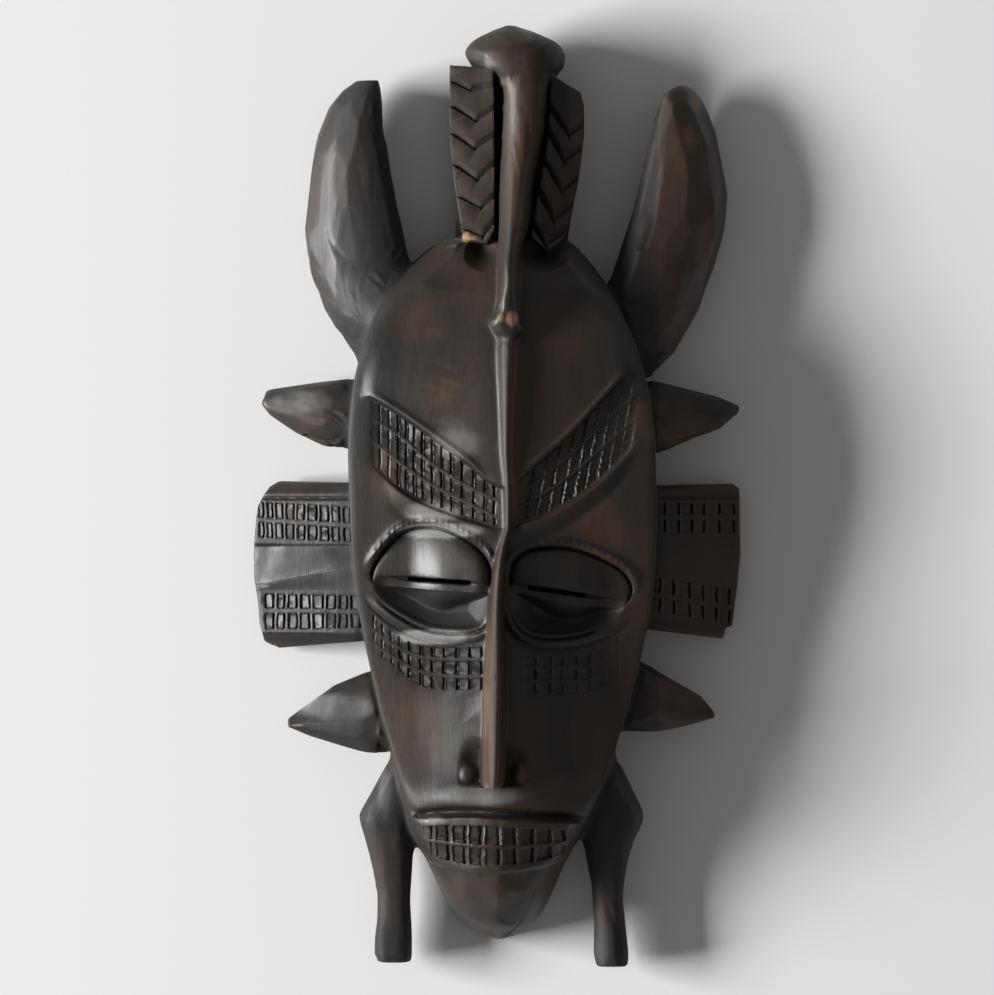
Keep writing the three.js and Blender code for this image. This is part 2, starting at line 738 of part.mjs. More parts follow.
function toGeometry(made) {
  const { numProp, vertProperties, triVerts } = made.getMesh();
  const positions = new Float32Array((vertProperties.length / numProp) * 3);
  for (let k = 0; k < positions.length / 3; k += 1) {
    positions.set(vertProperties.subarray(k * numProp, k * numProp + 3), k * 3);
  }
  const geometry = new THREE.BufferGeometry()
    .setAttribute("position", new THREE.BufferAttribute(positions, 3))
    .setIndex(new THREE.BufferAttribute(triVerts, 1));
  geometry.computeVertexNormals();
  return geometry;
}

const stainedWood = new THREE.MeshStandardMaterial({ color: 0x352c26, roughness: 0.48, metalness: 0 });
const mask = new THREE.Mesh(toGeometry(carving()), stainedWood);
mask.name = "mask";

// The part's origin is the middle of its outline, on the surface that it lies on.
const extent = new THREE.Box3().setFromObject(mask);
mask.position.set(-(extent.min.x + extent.max.x) / 2, -(extent.min.y + extent.max.y) / 2, 0);

const root = new THREE.Group();
root.add(mask);

export default root;
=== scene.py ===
"""A carved wooden face mask that lies on its back on a pale floor, seen from straight above.

The carving is worked out as one distance field in millimetres, in the axes of the solid, and meshed from it.
Tables of sizes hold rows of a place along the form followed by what the form measures there.
"""

import math

import bpy
import mathutils
import numpy as np
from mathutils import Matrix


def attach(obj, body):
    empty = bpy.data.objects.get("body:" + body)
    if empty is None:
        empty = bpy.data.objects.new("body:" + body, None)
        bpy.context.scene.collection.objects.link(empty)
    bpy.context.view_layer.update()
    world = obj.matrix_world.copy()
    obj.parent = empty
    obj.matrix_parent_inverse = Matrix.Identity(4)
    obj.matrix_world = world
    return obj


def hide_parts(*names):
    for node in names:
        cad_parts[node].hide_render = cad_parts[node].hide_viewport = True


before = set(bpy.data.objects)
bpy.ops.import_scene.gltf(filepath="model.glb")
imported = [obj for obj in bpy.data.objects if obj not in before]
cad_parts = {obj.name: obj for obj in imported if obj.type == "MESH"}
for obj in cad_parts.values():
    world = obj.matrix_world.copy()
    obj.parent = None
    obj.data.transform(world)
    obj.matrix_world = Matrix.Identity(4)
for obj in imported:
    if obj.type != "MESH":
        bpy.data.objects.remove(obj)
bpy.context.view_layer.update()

MM = 0.001
# From the axes of the tables to those of the frame.
SHIFT = np.array([-0.05, -0.2, 0.0])
# Sampling: size of a cell, cells along a coarse block, corners of the grid, step of the carved sheets.
CELL = 0.5
BLOCK = 4
GRID_LOW = np.array([-101.0, -192.0, -2.0])
GRID_HIGH = np.array([101.0, 192.0, 75.0])
SHEET_STEP = 0.25
FACES = 190000
RNG = np.random.default_rng(11)

# The face: height Y, middle X, half width, crown Z.
FACE = [
    (-178.5, 0.2, 3.0, 13), (-177.0, 0.2, 7.5, 19), (-172.6, 0.6, 13.9, 28), (-167.8, 0.2, 18.2, 34),
    (-158.1, 0.0, 23.2, 42), (-148.4, -0.2, 27.4, 47), (-138.7, -0.2, 32.3, 49), (-122.6, 1.4, 38.0, 50),
    (-102.4, 2.6, 44.4, 50.5), (-82.2, 2.8, 50.3, 51), (-58.0, 3.0, 56.1, 52.5), (-33.7, 2.8, 60.0, 55),
    (-9.5, 2.6, 61.4, 58), (14.7, 2.0, 61.6, 59), (39.0, 1.4, 59.8, 57), (55.1, 1.0, 56.3, 54),
    (75.3, 0.8, 48.5, 48), (89.0, 1.4, 40.5, 41), (98.7, 2.4, 32.0, 32), (103.6, 3.2, 25.5, 25),
    (106.8, 4.5, 10.0, 14),
]
CROWN_POWER = 2.2

# The form of the face from its middle to its rim, by height Y: share of its height lost, how much of that
# slope is given back towards the rim, how round the middle is, power of the round side, width of the side
# that its wall cuts off.
FACE_FORM = [(-178.5, 0.12, 0, 0.2, 4, 0.4), (-165, 0.22, 0, 0.16, 5, 0.5), (-150, 0.28, 0, 0.15, 6, 1),
             (-125, 0.3, 0.1, 0.15, 20, 3), (-100, 0.35, 0.29, 0.08, 40, 6), (-50, 0.35, 0.29, 0.08, 40, 6),
             (0, 0.28, 0.2, 0.08, 40, 6), (45, 0.2, 0, 0.08, 40, 6), (75, 0.15, 0, 0.1, 16, 4),
             (95, 0.12, 0, 0.1, 6, 1.5), (106.8, 0.1, 0, 0.1, 4, 0.4)]

# The hollow behind the face: thickness of the wall, ends in Y, length over which an end closes and by how
# much; half width of the eye slits that are cut through to it.
WALL = 10.0
HOLLOW = (-150.0, 92.0)
HOLLOW_END = 40.0
HOLLOW_CLOSES = 16.0
SLIT_HALF = 0.85
# Fillets: between the front and the wall of the face, inside the hollow, and along its rim.
FRONT_FILLET = 0.7
HOLLOW_FILLET = 4.0
RIM_FILLET = 0.8

# Limbs: place along the limb, low edge, high edge, middle Z, half depth.
HORN_LEFT = [
    (52.5, -54, -47.5, 20, 8), (58.4, -56.8, -38.5, 21.5, 13), (64.9, -61, -32.5, 22, 16),
    (70, -65, -29, 22, 17.5), (79.4, -70, -26.5, 21, 17), (88, -73.6, -30.5, 19.5, 15.5),
    (95, -75.3, -35.4, 18.5, 14.4), (108.4, -76.5, -38.6, 18, 13.5), (123, -75.3, -42, 17.5, 12.5),
    (137.5, -73.7, -44.2, 17, 11.5), (147.2, -71, -46.2, 16.5, 10.5), (157, -67, -46.8, 16, 9.3),
    (163.5, -62.8, -47.4, 15.5, 8), (168.4, -56.5, -48.6, 15, 6),
]
HORN_RIGHT = [
    (48.5, 57, 60, 14, 5), (54, 52, 65.5, 15, 9), (60, 49.5, 71, 16, 11.5), (69.7, 44.6, 76.9, 17, 13),
    (79.4, 43.2, 81.8, 17.8, 13.8), (93.9, 48.7, 87, 18, 14), (108.4, 53.3, 90.7, 18, 13.5),
    (118, 56.3, 91.7, 17.6, 12.8), (130, 59.2, 90.7, 17.3, 12), (141, 62, 88.5, 17, 11),
    (152, 64.8, 85, 16.4, 9.5), (159.5, 67.5, 81.5, 16, 8), (163.5, 70, 78.6, 15.5, 5.8),
    (165.6, 72.8, 75.8, 15, 3),
]
SPIKES = [
    [(-94.3, 37.5, 40.4, 17, 3), (-90.7, 33.2, 43.4, 17, 5.5), (-79.4, 26, 45.4, 17.5, 8.5),
     (-65, 20.6, 47.2, 18, 11), (-43, 18.5, 47.8, 18, 12)],
    [(43, 16, 47.5, 18, 12), (66, 18.3, 46.2, 18, 11), (78.1, 23.2, 43.6, 17.5, 8.5), (90, 28, 40.6, 17, 6),
     (96.9, 33.5, 37.2, 17, 3)],
    [(-83.6, -92.5, -89, 15, 2.5), (-78.1, -95.1, -84.8, 15, 4.5), (-66, -98.7, -77, 16, 7.5),
     (-51, -101.6, -70.9, 17, 10), (-33, -101.5, -68.5, 17, 10)],
    [(38, -94.2, -64, 17, 10), (58, -94.7, -66.4, 17, 10), (70, -93.4, -73, 16, 8),
     (82.6, -90.7, -80.6, 15, 4.5), (87.2, -88.9, -86, 15, 2.5)],
]
LEG_LEFT = [
    (-188, -46.6, -36.4, 14, 5), (-187, -48.3, -35, 14, 6.4), (-184, -49.4, -34.3, 14, 7.2),
    (-178, -49.4, -34.3, 14, 7.3), (-171.5, -48.7, -34.7, 14.2, 7.1), (-163, -48.4, -34.9, 14.5, 7),
    (-148.4, -50.7, -34.1, 16, 8), (-138.7, -53.1, -33.3, 17, 9.5), (-129.4, -55.5, -33, 17.5, 11),
    (-118, -50.3, -33, 18, 11), (-104, -42.6, -33, 18, 8),
]
LEG_RIGHT = [
    (-189.7, 41.2, 51.8, 14, 5), (-188.5, 39.9, 53, 14, 6.4), (-184, 39.2, 53.2, 14, 7.3),
    (-178, 39.1, 52.6, 14, 7.3), (-171, 39, 51.5, 14.2, 7.1), (-162.9, 38.6, 51.1, 14.5, 7),
    (-148.4, 36.5, 52.7, 16, 8), (-138.7, 34.5, 55.5, 17, 9.5), (-129.4, 32.3, 59.2, 17.5, 11),
    (-117, 31.5, 54.3, 18, 11), (-102, 33, 46.5, 18, 8),
]
BIRD = [
    (64, 0.5, 8.8, 53, 4), (66.5, -1.5, 10.5, 54, 5.5), (70, -3.3, 9.5, 54.5, 6), (73.5, -1, 9, 53.5, 7),
    (79, 0.1, 8.6, 50, 11), (95, 0.2, 9.5, 36, 22), (111.7, 0.6, 13, 30, 21), (127.8, 0.6, 15.1, 27, 18),
    (148, 0.6, 19.6, 25, 16), (163, 0.4, 21.4, 24, 16), (168.5, -2.5, 23.2, 23.5, 16),
    (174, -10.2, 26.8, 23, 17), (178.5, -12.6, 27.3, 22.5, 17), (183.5, -10, 23.8, 22, 14.5),
    (187.5, -3.5, 15.3, 21.5, 11), (190, 3, 8.5, 21.5, 6),
]

# Crests: height Y, middle X, half width at the foot, crest Z, half width of the crest.
RIDGE = [(-12, 4.2, 2.4, 60.5, 0.7), (0, 4.2, 2.6, 62, 0.8), (22, 3.4, 2.8, 64.2, 0.9),
         (45, 3.4, 3.4, 62.8, 1.2), (58, 3.4, 4.0, 60.2, 1.5), (66, 3.6, 4.4, 57.5, 1.6)]
NOSE = [(-116, -1.3, 3.2, 66, 0.7), (-114.6, -1.3, 3.4, 70, 0.8), (-110, -1.2, 3.4, 72.4, 1.2),
        (-95, -1.0, 3.4, 71.8, 1.4), (-70, -0.8, 3.4, 69.5, 1.7), (-45, -0.4, 3.4, 67, 1.2),
        (-26, 1.0, 3.8, 64.5, 1.0), (-12, 4.2, 4.2, 60.8, 0.8)]

# Wings: outline, chevrons as X and Y of left end, apex and right end, front Z, fall of the front towards
# +X, and depth of the bite below a chevron's left arm.
WINGS = [
    dict(outline=[(-19, 173.6), (-1.8, 172.6), (-1, 160), (-1, 107), (-4, 101.8), (-13.5, 103.5),
                  (-15, 112), (-17.2, 126), (-18.7, 140), (-19.2, 155)],
         chevrons=[(-19.4, 167.8, -10.3, 163.4, -0.6, 165.4), (-19.4, 158.2, -8.3, 151.3, -0.6, 156.5),
                   (-19.4, 147.4, -8.7, 140.2, -0.6, 145.6), (-18.6, 134.9, -7.9, 127.8, -0.6, 134.7),
                   (-17.6, 122, -6.3, 116.5, -0.6, 121.4), (-15.6, 108.9, -5.9, 105.2, -0.6, 111.7)],
         front=35.5, fall=-0.07, bite=1.0),
    dict(outline=[(22, 170), (33.6, 163), (35, 158), (35.1, 147), (34.2, 138), (32.5, 126), (30, 114),
                  (27.5, 104.5), (20.5, 98.5), (13.5, 105), (16.5, 122), (20.5, 145)],
         chevrons=[(24, 153.7, 29.3, 146, 35.6, 150), (23, 144, 27.5, 135.9, 34.6, 140.5),
                   (20.4, 133.5, 26.5, 123.8, 33, 129), (18, 121.4, 23.2, 112.1, 30.5, 118),
                   (15, 110, 20, 102, 28, 108)],
         front=33.0, fall=0.2, bite=1.5),
]

# Ear flanges: outline, X of the root, fall of the front away from it, and the front's Z over Y.
FLANGES = [
    dict(outline=[(-50, 5.8), (-88.3, 6.7), (-92, 4.5), (-94.2, 1.6), (-96.8, -3.2), (-97.6, -8),
                  (-98.4, -17.5), (-98.6, -24), (-98.4, -33), (-97, -41.6), (-96.2, -51), (-94.4, -58),
                  (-92.8, -61.4), (-54, -58), (-43, -53), (-43, 4)],
         root=-57, fall=0.36),
    dict(outline=[(50, 4.2), (73, 5.2), (95.5, 5.6), (98.2, 3.6), (98.4, -13.5), (98.7, -22), (97.4, -35),
                  (96, -46), (95.2, -52), (92.7, -52.8), (91.5, -57.2), (60, -53.2)],
         root=59, fall=0.26),
]
FLANGE_PROFILE = [(-64, 13), (-60, 17), (-55.4, 20.8), (-54.6, 21.4), (-18, 21.5), (-1.4, 21.5),
                  (-0.2, 20.4), (0.8, 21), (5, 18.5), (8, 14)]
FLANGE_BACK = 4.5
WING_BACK = 9.0

# Pitted bands: rails as lines of X and Y from the top down, ribs as X, their lean, the widths of ribs,
# rails and cuts and of a cut's sloping wall, and the depths of a pad at its start and end and of the cut.
PADS = dict(lean=0.0, rib=0.2, rail=1.7, cut=1.05, wall=0.3, start=0.6, end=0.1, deep=1.4)
DIMPLES = dict(lean=0.0, rib=0.5, rail=1.4, cut=1.3, wall=1.1, start=0.5, end=0.6, deep=1.15)
BANDS = [
    dict(rails=[[(-50.3, 40.2), (-38, 32.7), (-22.4, 21.6), (-11.5, 13.5), (-4.4, 7.5), (0, 5)],
                [(-50.3, 32.1), (-38.6, 24.4), (-26.5, 13.9), (-13.5, 5.5), (0, -1.2)],
                [(-50.3, 23.2), (-39.4, 14.3), (-27.3, 5.9), (-13.9, -1.2), (0, -7.9)],
                [(-50.3, 13.5), (-38.6, 3.4), (-29.7, -1.8), (-17.2, -6.7), (0, -12)]],
         ribs=[-50, -46.2, -42.6, -39.1, -35.9, -32.7, -29.3, -25.4, -21.6, -17.8, -13.5, -8.9, -4.4, -0.6],
         **PADS),
    dict(rails=[[(7, 5), (9.7, 7.9), (27.7, 23.6), (42.8, 39.8), (52, 50)],
                [(7, -0.5), (9.3, 1.2), (27.5, 15.6), (45, 31.5), (55, 41)],
                [(7, -6.5), (9, -4.6), (27, 7), (48, 25), (56, 32)],
                [(7, -12), (8.9, -10.3), (18.8, -7.1), (39, 5.5), (50.7, 16.8), (57, 24)]],
         ribs=[8.2, 12.9, 17.5, 22.6, 28, 33, 37.6, 42.4, 47, 51.5, 55.5], **{**DIMPLES, "lean": -0.2}),
    dict(rails=[[(-52, -43), (-45, -50.7), (-35.3, -56.7), (-27.3, -59.2), (-18.4, -59.2), (-2, -59)],
                [(-52, -51), (-42.2, -58.4), (-34.5, -62.4), (-27.3, -64.4), (-15.5, -64.8), (-2, -64.4)],
                [(-52, -57), (-40.6, -64.4), (-34.5, -68), (-27.3, -70.5), (-15.5, -71.7), (-2, -71.1)],
                [(-52, -61), (-40.6, -68.5), (-34.5, -73.7), (-27.3, -76.9), (-20, -77.7), (-2, -77.3)]],
         ribs=[-51, -48.6, -45.3, -41.8, -38.6, -34.7, -30.1, -25.5, -20.7, -15.6, -10.5, -5.6], **PADS),
    dict(rails=[[(8, -63.2), (33, -63.2), (42, -60), (50, -54)],
                [(8, -68), (33, -68), (43, -64.5), (51, -59)],
                [(8, -73.7), (33, -73.7), (43, -70), (51, -65)],
                [(8, -79), (33, -79), (43, -75.5), (50, -71)]],
         ribs=[10.5, 15.7, 21.8, 26.6, 32.1, 37.5, 42.5, 46.5, 49.5], **DIMPLES),
]
TEETH = dict(
    rails=[[(-34, -130), (-31.7, -130.6), (-12, -130.4), (20, -132), (34, -132.4)],
           [(-34, -136.2), (-28, -137.2), (1.4, -139.6), (25.6, -138.5), (34, -137)],
           [(-34, -141), (-28, -143.6), (-19.6, -146), (-6.3, -147.6), (6.9, -147.3), (18, -145.8),
            (25.6, -143.5), (34, -139)]],
    ribs=[-33, -30.6, -25.2, -18.6, -11.9, -5.5, 1.6, 8, 14.9, 22, 27.5, 31.5],
    lean=0.0, rib=1.0, rail=1.5, cut=1.7, wall=0.6, start=0.6, end=0.9, deep=1.7)
MOUTH_TOP = [(-34, -127), (-31.7, -128.2), (-24, -127.6), (-12, -127.1), (8, -128.2), (20.8, -129.4),
             (34, -130)]
MOUTH_LOW = [(-34, -143), (-27.7, -146.6), (-19.6, -149.2), (-6.3, -150.6), (6.9, -150.2), (18, -148.6),
             (25.6, -146.3), (34, -141)]

# Where the upper bands meet; nostrils as middle X, side and depth; hollows under the wings as middle X and
# half width, then the Y, half length and depth of both.
MIDDLE = 3
MEETING = (MIDDLE, 4)
NOSTRILS = ((-9.6, -1, 3.0), (6.9, 1, 2.0))
WING_HOLLOWS = ((-5.5, 6.0), (18.4, 8.5))
WING_HOLLOW_SIZE = (97.5, 5.5, 3.5)

# Eyes: outline of the socket, X between which the lid swells and its height, ends of the slit and of the
# stretch that goes through; then the step down at the rim of a socket.
EYES = [
    dict(socket=[(-50.7, -33.3), (-49.7, -27), (-43.8, -18.6), (-37.4, -13), (-29.3, -11.2), (-20, -12.5),
                 (-9.5, -18.2), (-3.6, -24.8), (-1.8, -33), (-2.4, -44), (-5.5, -52.4), (-16, -54.4),
                 (-27.7, -53), (-37.4, -48.6), (-46.6, -41.5)],
         swell=(-36.0, 6.0), rise=4.5, slit=(-45, -32.5, -4.6, -35.4), pierced=(-34.9, -32.5, -11.1, -33.9)),
    dict(socket=[(4.6, -33), (6.3, -25.6), (12.3, -20.8), (23.6, -19.4), (33.3, -20.6), (42.8, -24.4),
                 (50.7, -29.3), (54.6, -36.5), (51.8, -44.4), (44.4, -51.4), (27.7, -56.4), (12.3, -55),
                 (5.6, -46)],
         swell=(3.0, 46.0), rise=4.0, slit=(9.5, -35.6, 47, -41.6), pierced=(13.1, -36.2, 34.9, -39.2)),
]
SOCKET_STEP = 1.4


class Track:
    """Smooth columns over a rising first column: cubic steps that never overshoot."""

    def __init__(self, rows, step=0.2):
        rows = np.asarray(rows, float)
        at, values = rows[:, 0], rows[:, 1:]
        secant = np.diff(values, axis=0) / np.diff(at)[:, None]
        before, after = secant[:-1], secant[1:]
        same = before * after > 0
        middle = np.where(same, 2 * before * after / np.where(same, before + after, 1), 0)
        slope = np.vstack([secant[:1], middle, secant[-1:]])
        places = np.arange(at[0], at[-1] + step, step)
        i = np.clip(np.searchsorted(at, places, side="right") - 1, 0, len(at) - 2)
        gap = (at[i + 1] - at[i])[:, None]
        t = np.clip((places - at[i])[:, None] / gap, 0, 1)
        table = values[i] * (1 + 2 * t) * (1 - t) ** 2 + values[i + 1] * t * t * (3 - 2 * t)
        table += gap * slope[i] * t * (1 - t) ** 2 - gap * slope[i + 1] * t * t * (1 - t)
        self.table = table.astype(np.float32)
        self.rate = np.gradient(table, step, axis=0).astype(np.float32)
        self.low, self.high, self.step = at[0], at[-1], step

    def __call__(self, place, table=None):
        table = self.table if table is None else table
        q = np.clip((place - self.low) / self.step, 0, len(table) - 1.001)
        i = q.astype(np.int32)
        f = (q - i)[..., None]
        return np.moveaxis(table[i] * (1 - f) + table[i + 1] * f, -1, 0)

    def rates(self, place):
        return self(place, self.rate)

    def ended(self, d, place):
        """A distance to a form that stops at both ends of the rows."""
        return np.maximum(d, np.maximum(self.low - place, place - self.high))


def step01(t):
    """Smooth step that stays 0 below 0 and 1 above 1."""
    t = np.clip(t, 0, 1)
    return t * t * (3 - 2 * t)


def bell(distance, width):
    """1 where the distance is zero, nearly nothing at twice the width."""
    return np.exp(-(distance / width) ** 2)


def rounded(share):
    """Height of a quarter circle over its share of the radius."""
    return np.sqrt(1 - (1 - share) ** 2)


def between(values, low, high):
    return (values > low) & (values < high)


def joined(a, b, k):
    """Union of two distances with a fillet about k wide."""
    h = np.clip(0.5 + 0.5 * (b - a) / k, 0, 1)
    return b + (a - b) * h - k * h * (1 - h)


def centred(rows):
    """Turns low and high edges into a middle and a half width."""
    return [(p, (a + b) / 2, (b - a) / 2, *rest) for p, a, b, *rest in rows]


def roof_at(a, lost, back, soft):
    """Share of its crown height left at a share of the half width, and the rate at which it falls."""
    r = np.sqrt(a * a + soft ** 2)
    s = r - soft
    left = np.maximum(1 - lost * (s - back * s * s), 0.2)
    return left, lost * (1 - 2 * back * s) * a / r


def section(across, along, up, track, power, crown_power):
    """Distance to a form whose sections are rounded ovals."""
    c, w, m, h = track(along)
    cs, ws, ms, hs = np.clip(track.rates(along), -1.2, 1.2)
    a, b = (across - c) / w, (up - m) / h
    aa, bb = np.clip(np.abs(a), 1e-6, 6), np.clip(np.abs(b), 1e-6, 6)
    ga = power * np.sign(a) * aa ** (power - 1) / w
    gb = crown_power * np.sign(b) * bb ** (crown_power - 1) / h
    gy = ga * (cs + a * ws) + gb * (ms + b * hs)
    d = (aa ** power + bb ** crown_power - 1) / np.sqrt(ga * ga + gb * gb + gy * gy + 1e-8)
    d = np.maximum(d, 0.9 * (np.abs(across - c) - w) / np.sqrt(1 + ws * ws))
    return np.clip(np.maximum(d, 0.9 * (np.abs(up - m) - h) / np.sqrt(1 + hs * hs)), -15, 60)


def face_form(x, y, z, grow=0.0):
    """Distances to the front of the face and to the wall that cuts its sides off."""
    c, w, _, h = FACE_TRACK(y)
    cs, ws, _, hs = FACE_TRACK.rates(y)
    ws, hs = np.clip(ws, -4, 4), np.clip(hs, -1.5, 1.5)
    lost, back, soft, power, cut = FORM_TRACK(y)
    w, h = w + grow, h + grow
    wide = np.maximum(w + cut, 0.5)
    a = (x - c) / wide
    left, rate = roof_at(np.clip(a, -1.1, 1.1), lost, back, soft)
    b = z / (h * left)
    aa, bb = np.clip(np.abs(a), 1e-6, 1.2), np.clip(np.abs(b), 1e-6, 4)
    pa, pb = aa ** (power - 1), bb ** (CROWN_POWER - 1)
    ga = (power * np.sign(a) * pa + CROWN_POWER * bb * pb * rate / left) / wide
    gb = CROWN_POWER * pb / (h * left)
    gy = ga * (cs + a * ws) + gb * b * hs
    front = (aa * pa + bb * pb - 1) / np.sqrt(ga * ga + gb * gb + gy * gy + 1e-8)
    wall = (np.abs(x - c) - w) / np.sqrt(1 + ws * ws)
    return np.clip(front, -15, 40), wall


class Sheet:
    """Values over a window of the XY plane, read back between its points."""

    def __init__(self, x0, x1, y0, y1, step):
        self.x0, self.y0, self.step = x0, y0, step
        xs, ys = np.arange(x0, x1 + step, step), np.arange(y0, y1 + step, step)
        self.x, self.y = np.meshgrid(xs, ys)

    def read(self, values, x, y):
        rows, columns = values.shape
        u = np.clip((x - self.x0) / self.step, 0, columns - 1.001)
        v = np.clip((y - self.y0) / self.step, 0, rows - 1.001)
        i, j = u.astype(np.int32), v.astype(np.int32)
        f, g = u - i, v - j
        flat = values.ravel()
        k = j * columns + i
        low = flat[k] * (1 - f) + flat[k + 1] * f
        high = flat[k + columns] * (1 - f) + flat[k + columns + 1] * f
        return low * (1 - g) + high * g


def rounded_outline(points, parts=6):
    """A closed outline passed smoothly through its points."""
    p = np.asarray(points, float)
    before, after, beyond = np.roll(p, 1, 0), np.roll(p, -1, 0), np.roll(p, -2, 0)
    out = []
    for t in np.arange(parts) / parts:
        out.append(0.5 * (2 * p + (after - before) * t + (2 * before - 5 * p + 4 * after - beyond) * t ** 2
                          + (3 * p - before - 3 * after + beyond) * t ** 3))
    return np.stack(out, 1).reshape(-1, 2)


def outline_distance(points, x, y):
    """Signed distance to a closed outline, negative inside."""
    p = np.asarray(points, float)
    best = np.full(x.shape, 1e9)
    inside = np.zeros(x.shape, bool)
    for (ax, ay), (bx, by) in zip(p, np.roll(p, -1, 0)):
        dx, dy = bx - ax, by - ay
        t = np.clip(((x - ax) * dx + (y - ay) * dy) / (dx * dx + dy * dy + 1e-12), 0, 1)
        best = np.minimum(best, (x - ax - t * dx) ** 2 + (y - ay - t * dy) ** 2)
        crosses = (ay > y) != (by > y)
        inside ^= crosses & (x < ax + (y - ay) * dx / (dy if dy else 1e-12))
    return np.where(inside, -1, 1) * np.sqrt(best)


def line_distance(x, y, ax, ay, bx, by):
    dx, dy = bx - ax, by - ay
    t = np.clip(((x - ax) * dx + (y - ay) * dy) / (dx * dx + dy * dy), 0, 1)
    return np.hypot(x - ax - t * dx, y - ay - t * dy)


def pits(x, y, band):
    """Depth of a pitted band: pads that rise to the right, each ended by a cut, parted by thin rails."""
    rails = [Track(line) for line in band["rails"]]
    ribs = np.asarray(band["ribs"], float)
    heights = [rail(x)[0] for rail in rails]
    leaning = x - band["lean"] * (heights[len(rails) // 2] - y)
    leaning = leaning + 0.12 * np.sin(0.8 * y + 0.3 * x)
    column = np.clip(np.searchsorted(ribs, leaning) - 1, 0, len(ribs) - 2)
    wide = ribs[column + 1] - ribs[column]
    straight = leaning - ribs[column]
    within = step01((leaning - ribs[0] + 0.2) / 0.3) * step01((ribs[-1] + 0.2 - leaning) / 0.3)
    rib, rail, cut = band["rib"], band["rail"], band["cut"]
    depth = np.zeros(x.shape)
    for top, low in zip(heights[:-1], heights[1:]):
        vary = RNG.uniform(0.75, 1.15, len(ribs))[column]
        tilt = RNG.uniform(0.7, 1.3, len(ribs))[column]
        inside = step01((np.minimum(top - y, y - low) - rail / 2) / 0.3 + 0.5)
        at = straight + RNG.uniform(-0.15, 0.15, len(ribs))[column]
        past_rib = step01((at - rib) / 0.3 + 0.5)
        share = np.clip((at - rib) / np.maximum(wide - rib - cut, 0.5), 0, 1)
        pad = past_rib * (band["start"] * (1 - share) * tilt + band["end"] * share * tilt)
        open_wall = np.clip((at - (wide - cut)) / 0.35, 0, 1)
        far_wall = np.clip((wide - at) / band["wall"] + 0.1, 0, 1)
        groove = band["deep"] * vary * open_wall * far_wall
        below = step01(1 - np.abs(top - y - rail / 2 - 0.35) / 0.55) * 0.3 * past_rib
        row = np.maximum(np.maximum(pad, groove), below) * inside
        depth = np.maximum(depth, row * within)
    return depth


FACE_TRACK = Track([(y, c, w, 0, z) for y, c, w, z in FACE])
FORM_TRACK = Track(FACE_FORM)
FACE_SHEET = Sheet(-68, 72, -184, 112, SHEET_STEP)


def face_share(x, y):
    """How far out towards the rim of the face a point lies, 0 to 1."""
    c, w = FACE_TRACK(y)[:2]
    return np.abs(x - c) / w


def line_height(points, x):
    return Track(points)(x)[0]


def upper_lid(inner, above, swell):
    """Height of the lid above the slit, rounded off towards the rim of its socket."""
    upper = np.clip(above, 0, None)
    lid = swell * (1 - (upper / 27) ** 2) - 0.6 - 0.008 * upper ** 2
    return -SOCKET_STEP + (lid + SOCKET_STEP) * rounded(np.clip((inner - 0.4) / 4.5, 0, 1))


def lower_lid(inner, above, swell, side, sink=6.5):
    """Height below the slit: a lip, a bulge that comes to a point downwards, and the sunk ground round it."""
    corner = np.clip(inner / 6, 0, 1)
    lower = -SOCKET_STEP + (0.95 * swell - 0.8) * rounded(corner)
    down = np.maximum(-above - 2.4, 0) * (1 + 2.2 * side ** 2)
    bulge = lower - 0.2 * down - 0.09 * down ** 2 + 0.5 * bell(above + 2.9, 0.55) * corner
    ground = -sink * np.clip((inner - 0.6) / 8.0, 0, 1)
    return -joined(-bulge, -ground, 3.0)


def eye_relief(x, y, eye, run=15.0, groove=1.7, slit=1.9, rim=1.1, rolls=(0.9, 1.7)):
    """Carved depth of a socket with its half-closed lid, the toothed rim above it and the rolls below."""
    d = outline_distance(rounded_outline(eye["socket"]), x, y)
    inner = np.maximum(-d, 0)
    ax, ay, bx, by = eye["slit"]
    above = y - ay - (np.clip(x, ax, bx) - ax) * (by - ay) / (bx - ax)
    near, far = eye["swell"]
    swell = eye["rise"] * step01((x - near) / run) * step01((far - x) / run)
    side = (x - (ax + bx) / 2) / (bx - ax) * 2
    drop = step01((above + 0.4) / 2.2)
    height = upper_lid(inner, above, swell) * drop + lower_lid(inner, above, swell, side) * (1 - drop)
    height -= groove * bell(inner - 0.7, 0.6) * step01(above / 5 + 0.6)
    taper = np.clip(np.minimum(x - ax, bx - x) / 9, 0, 1)
    height -= slit * taper * step01(1 - np.abs(above - 0.7) / (0.5 + 0.9 * taper)) * step01(inner / 2)
    height *= step01(inner / 0.5)
    teeth = ((x + 0.5 * np.sin(0.9 * x)) / 2.7 % 1) * step01((above - 7) / 4)
    rim = (rim + 0.4 * teeth) * bell(d - 1.8, 1.5) * step01((above - 2) / 9)
    low_end = step01((-above - 5) / 12)
    roll = (rolls[0] * bell(d + 1.6, 1.0) + rolls[1] * bell(d - 1.7, 1.4)) * low_end
    roll -= (0.8 * bell(d - 0.1, 0.4) + 0.7 * bell(d - 4.3, 0.6)) * low_end
    return -height - rim - roll


